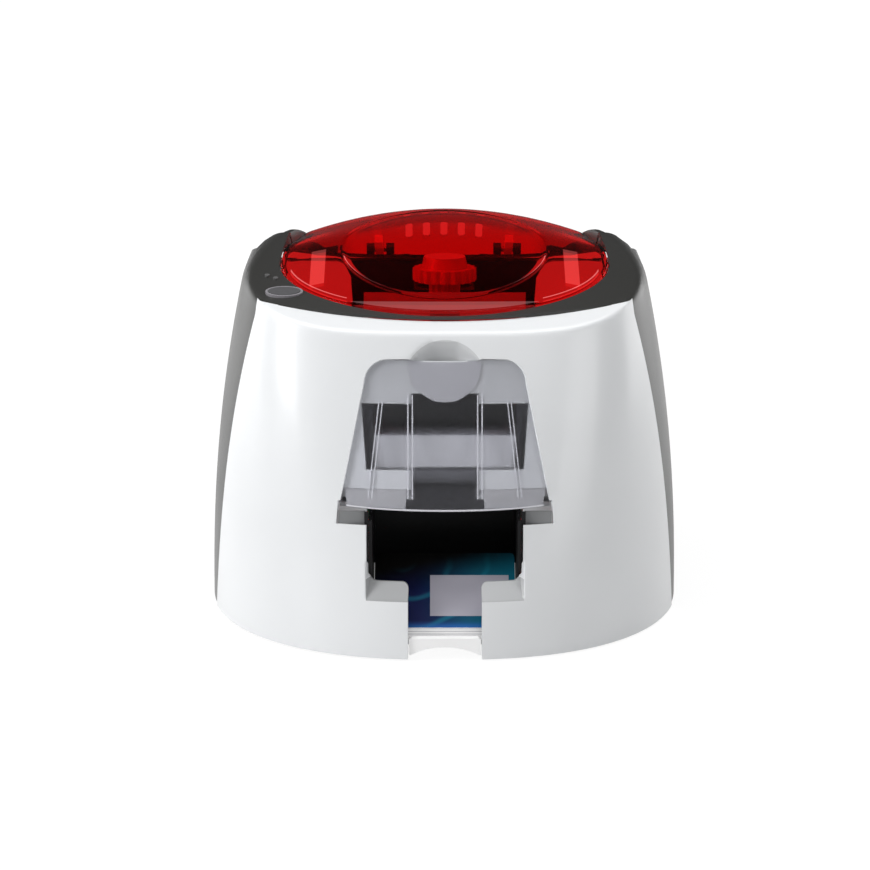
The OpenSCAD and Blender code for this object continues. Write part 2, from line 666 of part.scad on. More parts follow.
module printed_cards() color("white") translate([0, tray_at(0, 0)[0], tray_at(0, 0)[1]])
    rotate([tray_tilt, 0, 0]) translate([0, card_w / 2, 0.05]) card_stack(printed_count);
module blank_cards() color("#f4f4f2") translate([0, stack_y + card_w / 2, path_z + 0.02])
    card_stack(blank_count);

bin_front = stack_y + 0.5;
bin_rear = stack_y + card_w + 1.5;
bin_wall = 2;
bin_top = path_z + 36;
bin_low = path_z + 24;
bin_step = supply_at[0] - flange_r2 - flange_gap;
bin_block_z = flap_z + 1;
bin_recess = 19;
bin_floor = 3.4;
bin_side = flap_w - 1.4;
panel_y = stack_y + 6;
panel_top = path_z + 21;
shelf_x = window_w + 1.4;
shelf_y = pivot_y - 2;
shelf_z = recess_z - 3.8;
// One side of the card well: its walls, the apron under it and the panel beside the stack
module bin_half() union() {
    block(channel_w, channel_w + bin_wall, bin_front, bin_step, path_z - bin_floor, bin_top);
    block(channel_w, channel_w + bin_wall, bin_step - 1, bin_rear, path_z - bin_floor, bin_low);
    block(bin_recess, bin_side, bin_front, bin_front + bin_wall, bin_block_z, path_z);
    block(channel_w + bin_wall, bin_side, bin_front, stack_y + 28, path_z - bin_floor, path_z);
    block(bin_recess, bin_recess + bin_wall, bin_front, stack_y + 30, bin_block_z, path_z - 1);
    block(shelf_x, bin_side, bin_front, bin_front + bin_wall, shelf_z, bin_block_z + 1);
    block(shelf_x, bin_side, shelf_y, bin_front + 1, shelf_z, shelf_z + bin_wall);
    block(channel_w + 1, bin_side - 2, panel_y, panel_y + bin_wall, path_z - bin_floor, panel_top);
    along_x([[panel_y + 1, path_z - 1], [stack_y + 26, path_z - 1], [panel_y + 1, panel_top - 2]],
        bin_side - 4, bin_side - 2);
}
module feeder_bin() color("#c4c4c8") difference() {
    union() {
        bin_half();
        mirror([1, 0, 0]) bin_half();
        block(-channel_w - 1, channel_w + 1, bin_front, bin_rear, path_z - bin_floor, path_z);
        block(-channel_w - 1, channel_w + 1, bin_rear, bin_rear + bin_wall, path_z + nip, bin_low);
    }
    block(-bin_recess, bin_recess, bin_front - 1, stack_y + 18, path_z - bin_floor - 1, path_z + 1);
    block(-pick_w / 2 - 2.5, pick_w / 2 + 2.5, pick_at[0] - pick_r - 1, bin_rear + 1,
        path_z - bin_floor - 1, path_z + 1);
}

// ---- lid ----
arm_x = 41.3;
arm_w = 5.4;
vent_l = 38;
vent_y = lid_end - 38;
arm_back = hinge_y - 25;
arm_front = hinge_y - 33;
lid_slot = 0.6;
module lid() color("red", 0.6) difference() {
    lid_form();
    for (k = [0 : vent_count - 1]) translate([(k - (vent_count - 1) / 2) * vent_pitch, vent_y, 0])
        block(-vent_w / 2, vent_w / 2, -vent_l / 2, vent_l / 2, deck_z - 22, tall);
    for (x = [arm_x, -arm_x - arm_w]) block(x - lid_slot, x + arm_w + lid_slot, hinge_y - 27, hinge_y + 9,
        deck_z - 32, hinge_z + 9);
}
function under_lid(x, y) = dome_at(x, y) - lid_t - 0.7;
module lid_hinge_arms() color("#7a1016") for (x = [arm_x, -arm_x - arm_w]) difference() {
    union() {
        axle(x, x + arm_w, hinge_y, hinge_z, lug_r - 0.2);
        along_x([[arm_front, under_lid(arm_x + arm_w, arm_front) - 6], [hinge_y - 2, hinge_z - 3.7],
            [hinge_y + 2, hinge_z + 3.7], [hinge_y - 11, hinge_z + 8.2], [arm_back, hinge_z + 8.5],
            [arm_front, under_lid(arm_x + arm_w, arm_front)]], x, x + arm_w);
    }
    axle(x - 1, x + arm_w + 1, hinge_y, hinge_z, hinge_pin_r + run_fit);
}
module lid_hinge_pins() color("silver") for (x = [lug_xs[0] + 0.4, -lug_xs[1] - lug_w + 0.4])
    axle(x, x + lug_xs[1] + lug_w - lug_xs[0] - 0.8, hinge_y, hinge_z, hinge_pin_r);
catch_y = lid_edge + 4;
catch_w = 18;
module lid_catch() color("#7a1016") along_x([[catch_y, collar_z - 7], [catch_y + 1.6, collar_z - 9],
    [catch_y + 3, collar_z - 7], [catch_y + 3, under_lid(catch_w / 2, catch_y + 1)],
    [catch_y, under_lid(catch_w / 2, catch_y + 1) - 1]], -catch_w / 2, catch_w / 2);

// ---- feeder flap ----
ear_x = flap_w - 6;
ear_w = 3.6;
ear_r = 3.4;
rib_xs = [22, 46, 39.5];
rib_foot = flap_z + 7;
rib_top = slot_top - 2;
scoop_ring = 22.5;
module flap_rib(x0, z0, x1, z1, w)
    face_prism() polygon([[x0 - w, z0], [x0 + w, z0], [x1 + w, z1], [x1 - w, z1]]);
module flap_ear(side) union() {
    x = side > 0 ? ear_x : -ear_x - ear_w;
    axle(x, x + ear_w, pivot_y, pivot_z, ear_r);
    block(x, x + ear_w, pivot_y - 8.5, pivot_y, pivot_z - ear_r, pivot_z + ear_r);
}
// A thicker band stiffens the flap above its lower edge
flange_h = 6.5;
module flap_flange() intersection() {
    difference() {
        face_form(-flap_t + 0.4);
        face_form(-flap_t - 1);
    }
    face_prism() flap_outline(-1.5);
    block(-far, far, -far, 0, flap_z - flap_bow - 1, flap_z + flange_h);
}
module feeder_flap() color("#a9a8b0", 0.55) difference() {
    union() {
        intersection() {
            difference() {
                face_form(0);
                face_form(-flap_t);
            }
            face_prism() flap_outline(0);
        }
        intersection() {
            difference() {
                face_form(-flap_t + 0.4);
                face_form(-flap_t - 1.8);
            }
            for (s = [-1, 1]) union() {
                flap_rib(s * rib_xs[0], rib_foot, s * rib_xs[0], rib_top, 1.7);
                flap_rib(s * rib_xs[1], rib_foot, s * rib_xs[2], rib_top, 0.8);
            }
        }
        flap_flange();
        intersection() {
            difference() {
                face_form(-flap_t + 0.4);
                face_form(-flap_t - 0.5);
            }
            face_prism() difference() {
                translate([0, flap_top]) circle(r = scoop_ring + 1);
                translate([0, flap_top]) circle(r = scoop_ring - 1);
                translate([-scoop_ring - 2, flap_top - 2]) square(2 * scoop_ring + 4);
            }
        }
        intersection() {
            face_form(-0.6);
            union() {
                flap_ear(1);
                flap_ear(-1);
            }
        }
    }
    axle(-flap_w - 1, flap_w + 1, pivot_y, pivot_z, pin_r + run_fit);
}
module flap_pins() color("black") for (s = [-1, 1])
    axle(s > 0 ? ear_x - 1 : 1 - boss_x - boss_l, s > 0 ? boss_x + boss_l - 1 : 1 - ear_x, pivot_y, pivot_z,
        pin_r);

// ---- frame ----
plate_foot = 10;
plate_top = path_z + 36;
plate_front = pick_at[0] + 22;
plate_rear = board_y - 2;
horn_z = spool_z + 8;
gate_at = [plate_front - 3.5, path_z - 11];
gate_r = 1.5;
spindle_r = 2;
plate_outline = [[plate_front, deck_top], [plate_rear, deck_top], [plate_rear, plate_top],
    [takeup_at[0] + 16, plate_top], [takeup_at[0] + 14, horn_z], [takeup_at[0] - 14, horn_z],
    [takeup_at[0] - 18, plate_top], [supply_at[0] + 18, plate_top], [supply_at[0] + 14, horn_z],
    [supply_at[0] - 6, horn_z], [supply_at[0] - 10, plate_top], [plate_front - 2.5, path_z + 12],
    [pick_at[0] - 8, path_z + 4], [pick_at[0] - 8, path_z - 16], [plate_front - 3, path_z - 18]];
bar_at = [[plate_rear - 10, deck_top + 18], [plate_rear - 10, plate_top - 10],
    [plate_rear - 70, deck_top + 24]];
bar_r = 3;
hole_at = [plate_rear - 50, deck_top + 54];
module plate_holes(x0, x1) {
    for (p = [pick_at, feed_at, platen_at, back_at, exit_at]) at_axle(p, x0, x1, shaft_r + run_fit);
    for (p = [above(feed_at), above(back_at), cleaner_at, supply_at, takeup_at])
        at_axle(p, x0, x1, spindle_r + run_fit);
    at_axle(gate_at, x0, x1, gate_r + run_fit);
    at_axle(hole_at, x0, x1, 18);
}
module side_plate(x) difference() {
    union() {
        along_x(plate_outline, x, x + plate_t);
        block(x > 0 ? x : x - plate_foot, x > 0 ? x + plate_t + plate_foot : x + plate_t,
            plate_front + 8, plate_rear - 10, deck_top, deck_top + 1.6);
    }
    plate_holes(x - 1, x + plate_t + 1);
}
module left_side_plate() color("lightsteelblue") side_plate(-plate_x - plate_t);
module right_side_plate() color("lightsteelblue") union() {
    side_plate(plate_x);
    for (p = [feed_idler_at, back_idler_at, exit_idler_at])
        at_axle(p, plate_x + plate_t - 0.01, gear_x + gear_w + 0.8, spindle_r);
}
module cross_bars() color("silver") for (p = bar_at) at_axle(p, -plate_x, plate_x, bar_r);

// ---- rollers and gears ----
pick_w = 20;
pulley_r = 5;
roller_w = 88;
tyre_x = [8, 40];
module tyres(p, r) {
    at_axle(p, tyre_x[0], tyre_x[1], r);
    at_axle(p, -tyre_x[1], -tyre_x[0], r);
}
module pick_roller() color("#2b2b2b") union() {
    at_axle(pick_at, pulley_x - 5, plate_x + plate_t + 1, shaft_r);
    at_axle(pick_at, -pick_w / 2, pick_w / 2, pick_r);
    at_axle(pick_at, pulley_x - 5, pulley_x, pulley_r);
}
module feed_roller() color("#2b2b2b") union() {
    at_axle(feed_at, pulley_x - 5, gear_x + gear_w + 0.6, shaft_r);
    tyres(feed_at, feed_r);
    at_axle(feed_at, pulley_x - 5, pulley_x, pulley_r);
    gear(feed_at, gear_x, feed_teeth, feed_phase);
}
module platen_roller() color("#2b2b2b") union() {
    at_axle(platen_at, -plate_x - plate_t - 1, shaft_end, shaft_r);
    at_axle(platen_at, -roller_w / 2, roller_w / 2, platen_r);
    gear(platen_at, gear_x, platen_teeth, platen_phase);
    gear(platen_at, drive_x, drive_teeth, platen_phase);
}
module back_feed_roller() color("#2b2b2b") union() {
    at_axle(back_at, -plate_x - plate_t - 1, gear_x + gear_w + 0.6, shaft_r);
    tyres(back_at, feed_r);
    gear(back_at, gear_x, feed_teeth, back_phase);
}
module exit_roller() color("#2b2b2b") union() {
    at_axle(exit_at, -plate_x - plate_t - 1, gear_x + gear_w + 0.6, shaft_r);
    tyres(exit_at, pinch_r);
    gear(exit_at, gear_x, feed_teeth, exit_phase);
}
module free_roller(p, r) union() {
    at_axle(p, -plate_x - plate_t - 0.6, plate_x + plate_t + 0.6, spindle_r);
    at_axle(p, 2 - roller_w / 2, roller_w / 2 - 2, r);
}
module front_pinch_roller() color("gray") free_roller(above(feed_at), pinch_r);
module back_pinch_roller() color("gray") free_roller(above(back_at), pinch_r);
module cleaning_roller() color("lightblue") free_roller(cleaner_at, cleaner_r);
module feed_idler_gear() color("ivory") 
    gear(feed_idler_at, gear_x, idler_teeth, feed_idler_phase, spindle_r + run_fit);
module back_idler_gear() color("ivory") 
    gear(back_idler_at, gear_x, idler_teeth, back_idler_phase, spindle_r + run_fit);
module exit_idler_gear() color("ivory") 
    gear(exit_idler_at, gear_x, idler_teeth, exit_idler_phase, spindle_r + run_fit);
belt_t = 0.9;
module belt_loop(r) union() {
    d = norm(pick_at - feed_at);
    circle(r = r);
    translate([d, 0]) circle(r = r);
    translate([0, -r]) square([d, 2 * r]);
}
module pick_belt() color("#202020") translate([pulley_x - 4.6, pick_at[0], pick_at[1]]) rotate([90, 0, 90])
    rotate(turn(pick_at, feed_at)) linear_extrude(4.2) difference() {
        belt_loop(pulley_r + 0.06 + belt_t);
        belt_loop(pulley_r + 0.06);
    }

// ---- motor, head, spools ----
motor_r = 17.5;
motor_x = shaft_end + 5;
motor_l = 28;
motor_plate = 2;
motor_shaft_r = 2.5;
standoff_turns = [20, 200, 300];
module drive_motor() color("#30343a") union() {
    at_axle(motor_at, motor_x, motor_x + motor_l, motor_r);
    at_axle(motor_at, drive_x - 0.5, motor_x, motor_shaft_r);
    block(motor_x + motor_l - 12, motor_x + motor_l - 2, motor_at[0] - 7, motor_at[0] + 7,
        motor_at[1] - motor_r - 3, motor_at[1] - motor_r + 3);
}
module motor_pinion() color("goldenrod") gear(motor_at, drive_x, motor_teeth, motor_phase,
    motor_shaft_r + run_fit);
module motor_bracket() color("silver") difference() {
    union() {
        at_axle(motor_at, motor_x - motor_plate, motor_x, motor_r + 2);
        for (a = standoff_turns) let (p = motor_at + (motor_r + 5) * [cos(a), sin(a)]) {
            at_axle(p, motor_x - motor_plate, motor_x, 5);
            at_axle(p, plate_x + plate_t, motor_x - 0.5, 3);
        }
    }
    at_axle(motor_at, motor_x - 3, motor_x + 1, 4);
}
head_z = path_z + nip + 0.1;
head_w = 88;
bridge_z = plate_top;
head_y = [platen_at[0] - 5, platen_at[0] + 6];
sink_y = [platen_at[0] - 14, platen_at[0] + 14];
sink_top = bridge_z - 0.3;
fins = 9;
fin_t = 1.4;
module print_head() color("#d8c9a8") union() {
    block(-head_w / 2, head_w / 2, head_y[0], head_y[1], head_z + 1, head_z + 6);
    axle(1 - head_w / 2, head_w / 2 - 1, platen_at[0], head_z + 1.2, 1.2);
    block(-14, 14, head_y[1], head_y[1] + 5, head_z + 2, head_z + 5.6);
}
module heat_sink() color("silver") union() {
    block(1 - head_w / 2, head_w / 2 - 1, sink_y[0], sink_y[1], head_z + 6, head_z + 10);
    for (k = [0 : fins - 1]) let (y = sink_y[0] + k * (sink_y[1] - sink_y[0] - fin_t) / (fins - 1))
        block(1 - head_w / 2, head_w / 2 - 1, y, y + fin_t, head_z + 9.9,
            k == floor(fins / 2) ? sink_top : sink_top - 3);
}
bridge_t = 3;
stem_r = 10;
knob_foot = bridge_z + 10;
module head_bridge() color("#26262a") union() {
    block(-plate_x, plate_x, sink_y[0], sink_y[1], bridge_z, bridge_z + bridge_t);
    for (s = [-1, 1]) block(s > 0 ? plate_x - bridge_t : -plate_x, s > 0 ? plate_x : bridge_t - plate_x,
        sink_y[0] - 2, sink_y[1] + 2, bridge_z - 20, bridge_z + bridge_t);
    translate([0, knob_y, bridge_z]) cylinder(r = stem_r + 4, h = knob_foot - bridge_z - 0.3);
    translate([0, knob_y, bridge_z]) cylinder(r = post_r, h = post_top - bridge_z);
}
knob_top = body_h - 20;
flange_r = 20;
knob_ribs = 12;
flange_t = 8;
flange_z = knob_top - 15;
post_r = 4;
post_top = flange_z - 9;
lobes = 20;
lobe_h = 0.9;
cap_r = 13;
// A round outline with even scallops
function scallops(r, h, n) = [for (k = [0 : 8 * n - 1]) let (a = 45 * k / n)
    (r + h * cos(n * a)) * [cos(a), sin(a)]];
module head_knob() color("#b0131b") translate([0, knob_y, 0]) difference() {
    union() {
        translate([0, 0, knob_foot]) linear_extrude(flange_z - knob_foot)
            polygon(scallops(stem_r - 1, 0.8, knob_ribs));
        translate([0, 0, flange_z]) linear_extrude(flange_t)
            polygon(scallops(flange_r - lobe_h, lobe_h, lobes));
        translate([0, 0, flange_z + flange_t])
            cylinder(r1 = cap_r + 1.6, r2 = cap_r, h = knob_top - flange_z - flange_t);
    }
    translate([0, 0, knob_foot - 1]) cylinder(r = post_r + run_fit, h = post_top - knob_foot + 2);
}
ribbon_w = 84;
module spool(p, r) union() {
    at_axle(p, -plate_x - plate_t - 0.6, plate_x + plate_t + 0.6, spindle_r);
    at_axle(p, -ribbon_w / 2, ribbon_w / 2, r);
    for (s = [-1, 1]) at_axle(p, s > 0 ? ribbon_w / 2 + 1 : -ribbon_w / 2 - 3,
        s > 0 ? ribbon_w / 2 + 3 : -ribbon_w / 2 - 1, flange_r2);
    at_axle(p, -ribbon_w / 2 - 4, ribbon_w / 2 + 4, 6);
}
module supply_spool() color("#17171a") spool(supply_at, supply_r);
module takeup_spool() color("#17171a") spool(takeup_at, takeup_r);
film_t = 0.3;
film_guide = [[sink_y[0] - 0.5, head_z - 0.5], [sink_y[1] + 1.5, head_z - 0.5]];
module film_run(p, q) let (n = norm(q - p), u = (q - p) / n, v = [-u[1], u[0]] * film_t)
    along_x([p, q, q + v, p + v], 2 - ribbon_w / 2, ribbon_w / 2 - 2);
module ribbon_film() color("#101014") union() {
    film_run(supply_at + [6, -supply_r - 0.2], film_guide[0]);
    film_run(film_guide[0], film_guide[1]);
    film_run(film_guide[1], takeup_at + [-5, -takeup_r - 0.2]);
}
gate_w = 82;
module card_gate() color("#8d8f94") difference() {
    union() {
        at_axle(gate_at, -plate_x - plate_t - 0.6, plate_x + plate_t + 0.6, gate_r);
        at_axle(gate_at, -gate_w / 2, gate_w / 2, 2.6);
        along_x([gate_at + [0, -1.5], gate_at + [9, 7.3], gate_at + [8.4, 8], gate_at + [-1, 2.4]],
            -gate_w / 2, gate_w / 2);
    }
    for (x = [-30, 0, 30])
        block(x - 2, x + 2, gate_at[0] + 3.2, gate_at[0] + 12, gate_at[1] - 3, path_z + 6);
}

// ---- fan, electronics and controls ----
fan_y = rear - 122;
fan_drop = 46;
fan_z = deck_z - fan_drop;
bracket_l = 24;
fan_s = 20;
fan_bore = fan_s - 1.4;
blades = 7;
fan_pin = 1.5;
module fan_frame() color("#1d1d20") difference() {
    block(-fan_s, fan_s, fan_y - fan_s, fan_y + fan_s, fan_z, fan_z + 10);
    translate([0, fan_y, fan_z + 2]) cylinder(r = fan_bore, h = 9);
    translate([0, fan_y, fan_z - 1]) difference() {
        cylinder(r = fan_bore, h = 4);
        cylinder(r = 8, h = 5);
        for (a = [0 : 120 : 240]) rotate(a) translate([0, -1.2, 0]) cube([30, 2.4, 5]);
    }
    translate([0, fan_y, fan_z - 1]) cylinder(r = fan_pin + run_fit, h = 5);
}
module fan_rotor() color("#2a2a2e") translate([0, fan_y, fan_z]) union() {
    translate([0, 0, 0.4]) cylinder(r = fan_pin, h = 4);
    translate([0, 0, 2.6]) cylinder(r = 8, h = 6.8);
    for (k = [0 : blades - 1]) rotate(360 / blades * k) translate([6, 0, 6]) rotate([38, 0, 0])
        translate([0, -3.6, -0.5]) cube([11.5, 7.2, 1]);
}
module fan_bracket() color("silver") difference() {
    union() {
        block(-plate_x - plate_t, plate_x + plate_t, plate_rear - bracket_l, plate_rear, fan_z - 2, fan_z);
        for (s = [-1, 1]) block(s > 0 ? plate_x : -plate_x - plate_t, s > 0 ? plate_x + plate_t : -plate_x,
            plate_rear - bracket_l, plate_rear, plate_top, fan_z - 1);
    }
    translate([0, fan_y, fan_z - 3]) cylinder(r = fan_bore, h = 4);
}
board_t = 1.6;
port_z = board_z + board_t;
port_h = 11;
port_end = pocket_y + 0.8;
module main_board() color("#1d5b36") union() {
    block(board_x[0], board_x[1], board_y, board_y + board_l, board_z, port_z);
    block(-30, -8, board_y + 28, board_y + 50, port_z - 0.1, port_z + 2.4);
    block(0, 12, board_y + 12, board_y + 20, port_z - 0.1, port_z + 8.4);
    for (k = [0 : 3]) translate([40, board_y + 12 + 12 * k, port_z - 0.1]) cylinder(r = 4, h = 12);
    block(-52, -24, board_y + 68, board_y + 78, port_z - 0.1, port_z + 7.4);
}
module usb_socket() color("silver") difference() {
    block(usb_x - 6, usb_x + 6, pocket_y - 18, port_end, port_z, port_z + port_h);
    block(usb_x - 4.2, usb_x + 4.2, pocket_y - 12, port_end + 1, port_z + 1.6, port_z + port_h - 1.6);
}
module power_inlet() color("#151515") difference() {
    block(inlet_x - 5, inlet_x + 5, pocket_y - 16, port_end, port_z, port_z + port_h);
    translate([inlet_x, port_end + 1, port_z + port_h / 2]) rotate([90, 0, 0]) cylinder(r = 3, h = 12);
}
module button_ring() color("silver") on_collar(button_at) difference() {
    translate([0, 0, -6]) linear_extrude(6.5) oval(button_l + 2 * ring_wide, button_w + 2 * ring_wide);
    translate([0, 0, -7]) linear_extrude(9) oval(button_l + 0.3, button_w + 0.3);
}
module power_button() color("#8c8c90") on_collar(button_at) translate([0, 0, -4.6]) linear_extrude(5.4)
    oval(button_l, button_w);
module button_switch() color("#1d5b36") on_collar(button_at) union() {
    block(-8, 8, -8, 8, -8.6, -7);
    block(-3.2, 3.2, -3.2, 3.2, -7.1, -5.6);
    for (y = [-6.6, 6.6]) block(-3, 3, y - 0.8, y + 0.8, -7.1, -6.05);
}
module indicator_lights() color("lightgray") for (p = light_at) on_collar(p)
    translate([0, 0, -7]) cylinder(r = light_r, h = 7.2);
module cover_screws() color("silver") for (s = [-1, 1], y = [plate_front + 38, plate_rear - 30])
    translate([s * (plate_x + 7), y, deck_top + 1.6]) cylinder(r = 3, h = 2);

base_tray();
rubber_feet();
front_shell();
hood();
rear_cover();
hopper_box();
output_tray();
feeder_bin();
lid();
lid_hinge_arms();
lid_hinge_pins();
lid_catch();
feeder_flap();
flap_pins();
left_side_plate();
right_side_plate();
cross_bars();
pick_roller();
feed_roller();
platen_roller();
back_feed_roller();
exit_roller();
front_pinch_roller();
back_pinch_roller();
pick_belt();
feed_idler_gear();
back_idler_gear();
exit_idler_gear();
drive_motor();
motor_pinion();
motor_bracket();
print_head();
heat_sink();
head_bridge();
head_knob();
supply_spool();
takeup_spool();
ribbon_film();
card_gate();
cleaning_roller();
fan_frame();
fan_rotor();
fan_bracket();
main_board();
usb_socket();
power_inlet();
power_button();
button_ring();
button_switch();
indicator_lights();
blank_cards();
printed_cards();
cover_screws();
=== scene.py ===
# %% [markdown]
# # A desktop card printer, dressed for the render
# The printer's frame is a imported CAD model: every piece has its real size and place there, in metres.
# This lesson loads it, gives each piece its finish, and models the moulded covers again with finer
# meshes, because smooth glossy plastic shows every facet.

# %% Load the fixed frame
import math
from bisect import bisect_left
from functools import cache

import bmesh
import bpy
from mathutils import Matrix, Vector


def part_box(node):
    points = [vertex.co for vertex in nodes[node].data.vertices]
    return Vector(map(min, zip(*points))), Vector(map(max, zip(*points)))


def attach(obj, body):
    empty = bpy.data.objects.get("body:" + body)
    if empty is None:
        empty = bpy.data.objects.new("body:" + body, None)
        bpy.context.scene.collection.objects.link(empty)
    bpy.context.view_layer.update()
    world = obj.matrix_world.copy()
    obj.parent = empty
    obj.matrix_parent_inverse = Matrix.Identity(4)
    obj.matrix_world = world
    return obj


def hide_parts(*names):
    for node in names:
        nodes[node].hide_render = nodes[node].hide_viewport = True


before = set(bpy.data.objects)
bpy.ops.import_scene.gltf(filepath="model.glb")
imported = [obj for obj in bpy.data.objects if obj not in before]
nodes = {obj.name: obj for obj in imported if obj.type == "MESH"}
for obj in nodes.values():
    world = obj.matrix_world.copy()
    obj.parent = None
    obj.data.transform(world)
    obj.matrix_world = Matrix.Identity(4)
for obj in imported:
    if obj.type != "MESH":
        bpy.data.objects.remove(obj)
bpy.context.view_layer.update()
MM = 0.001

# %% [markdown]
# ## The camera
# A long lens, almost two metres away and a little above the table, keeps the sides of the machine nearly
# parallel, so it is chosen before the distance.

# %% Camera
scene = bpy.context.scene
scene.view_settings.view_transform = "Standard"
LENS, SENSOR, FAR_CLIP = 126.2, 36.0, 20
CAMERA_AT, PITCH = (-0.006, -1.956, 0.536), math.radians(12.62)
camera_data = bpy.data.cameras.new("camera")
camera_data.lens, camera_data.sensor_width, camera_data.clip_end = LENS, SENSOR, FAR_CLIP
camera = bpy.data.objects.new("camera", camera_data)
camera.location, camera.rotation_euler = CAMERA_AT, (math.pi / 2 - PITCH, 0, 0)
scene.collection.objects.link(camera)
scene.camera = camera
print("camera at", CAMERA_AT)

# %% [markdown]
# ## Floor and light
# A pale floor runs up behind the machine as a sweep. Camera rays see it as plain white, while every
# other ray meets a real diffuse surface, so the shadow under the machine is kept by mixing the two.

# %% A small helper class for shader maths
class Maths:
    """Wraps a shader socket, so that numbers along a surface are written as Python expressions."""

    def __init__(self, shader, socket):
        self.shader, self.socket = shader, socket

    def _math(self, operation, first, second):
        return self.shader.node("ShaderNodeMath", {"operation": operation}, {0: first, 1: second})

    def __add__(self, other): return self._math("ADD", self, other)
    def __radd__(self, other): return self._math("ADD", other, self)
    def __sub__(self, other): return self._math("SUBTRACT", self, other)
    def __rsub__(self, other): return self._math("SUBTRACT", other, self)
    def __mul__(self, other): return self._math("MULTIPLY", self, other)
    def __rmul__(self, other): return self._math("MULTIPLY", other, self)
    def __pow__(self, other): return self._math("POWER", self, other)
    def __gt__(self, other): return self._math("GREATER_THAN", self, other)
    def __lt__(self, other): return self._math("LESS_THAN", self, other)
    def larger(self, other): return self._math("MAXIMUM", self, other)

    def ramp(self, low, high, to_low=0.0, to_high=1.0):
        return self.shader.node("ShaderNodeMapRange", {"interpolation_type": "SMOOTHSTEP"},
                                {0: self, 1: low, 2: high, 3: to_low, 4: to_high})


# %% A tree of nodes, and a finish
class Nodes:
    """A node tree under construction."""

    def __init__(self, tree):
        self.tree = tree

    def node(self, kind, settings=None, inputs=None, output=0):
        """Adds a node: its settings first, then the value or link of each socket."""
        made = self.tree.nodes.new(kind)
        for key, value in (settings or {}).items():
            setattr(made, key, value)
        for key, value in (inputs or {}).items():
            if isinstance(value, Maths):
                self.tree.links.new(value.socket, made.inputs[key])
            else:
                made.inputs[key].default_value = value
        return Maths(self, made.outputs[output]) if made.outputs else None

    def place(self):
        return self.node("ShaderNodeTexCoord", output="Object")

    def noise(self, scale, detail=2.0, where=None):
        return self.node("ShaderNodeTexNoise", None,
                         {"Vector": where or self.place(), "Scale": scale, "Detail": detail})

    def axes(self, where=None):
        split = self.node("ShaderNodeSeparateXYZ", None, {0: where or self.place()})
        return [Maths(self, socket) for socket in split.socket.node.outputs]

    def mix(self, factor, first, second):
        colors = [value if isinstance(value, Maths) else (*value, 1) for value in (first, second)]
        return self.node("ShaderNodeMix", {"data_type": "RGBA"}, {0: factor, 6: colors[0], 7: colors[1]},
                         output=2)

    def ray(self, kind):
        return self.node("ShaderNodeLightPath", output=f"Is {kind} Ray")

    def either(self, factor, first, second):
        return self.node("ShaderNodeMixShader", None, {0: factor, 1: first, 2: second})

    def light(self, strength, color=(1, 1, 1, 1), kind="ShaderNodeEmission"):
        return self.node(kind, None, {"Color": color, "Strength": strength})


class Finish(Nodes):
    """A material under construction: one Principled surface and the nodes that vary it."""

    def __init__(self, name, color, roughness=0.5, metallic=0.0, **constants):
        self.material = bpy.data.materials.new(name)
        self.material.use_nodes = True
        super().__init__(self.material.node_tree)
        self.surface = self.tree.nodes["Principled BSDF"]
        self.shader = Maths(self, self.surface.outputs[0])
        self.set(Base_Color=(*color, 1), Roughness=roughness, Metallic=metallic, **constants)

    def set(self, **constants):
        for socket, value in constants.items():
            self.surface.inputs[socket.replace("_", " ")].default_value = value

    def feed(self, socket, value):
        self.tree.links.new(value.socket, self.surface.inputs[socket])

    def bumps(self, height, distance, strength=1.0):
        self.feed("Normal", self.node("ShaderNodeBump", None,
                                      {"Strength": strength, "Distance": distance, "Height": height}))

    def show(self, shader):
        """Ends the material in another shader than its plain surface."""
        self.tree.links.new(shader.socket, self.tree.nodes["Material Output"].inputs[0])
        return self.material


# %% The floor, seen white by the camera
def plain_object(bm, name):
    mesh = bpy.data.meshes.new(name)
    bm.to_mesh(mesh)
    bm.free()
    made = bpy.data.objects.new(name, mesh)
    scene.collection.objects.link(made)
    return made


FLOOR_COLOR, FLOOR_HALF, SEEN_WHITE, FLOOR_LIGHT = (0.62, 0.62, 0.62), 6.0, 0.72, 1.27
bm = bmesh.new()
bmesh.ops.create_grid(bm, x_segments=1, y_segments=1, size=FLOOR_HALF)
floor = plain_object(bm, "floor")

floor_look = Finish("floor sweep", FLOOR_COLOR, 0.16)
share = floor_look.ray("Camera").larger(floor_look.ray("Glossy")) * SEEN_WHITE
x, y, _ = floor_look.axes()
far = ((x * x + y * y) ** 0.5).ramp(0.5, 1.3)
white_floor = floor_look.light(FLOOR_LIGHT, floor_look.mix(far, (1, 1, 1), (1.1, 1.1, 1.1)))
floor.data.materials.append(floor_look.show(floor_look.either(share, floor_look.shader, white_floor)))

# %% [markdown]
# The world is white where the camera and clear plastic look at it, dim in mirrors, and a soft grey lamp
# for everything else.

# %% World
AMBIENT, MIRRORED = 0.31, 0.10
world = bpy.data.worlds.new("studio")
scene.world = world
world.use_nodes = True
sky = Nodes(world.node_tree)
sky.tree.nodes.clear()
soft, dim, white = (sky.light(strength, kind="ShaderNodeBackground") for strength in (AMBIENT, MIRRORED, 1.0))
seen = sky.ray("Camera").larger(sky.ray("Transmission"))
lit = sky.either(sky.ray("Glossy"), soft, dim)
sky.node("ShaderNodeOutputWorld", None, {0: sky.either(seen, lit, white)})

# %% [markdown]
# Three soft boxes: a strong one at the left, as the left of the white shell is the brightest, a wide one
# overhead for the lid and the collar, and a weak one at the right to open the shadows.

# %% Lamps
MIDDLE = Vector((0, 0, 0.12))


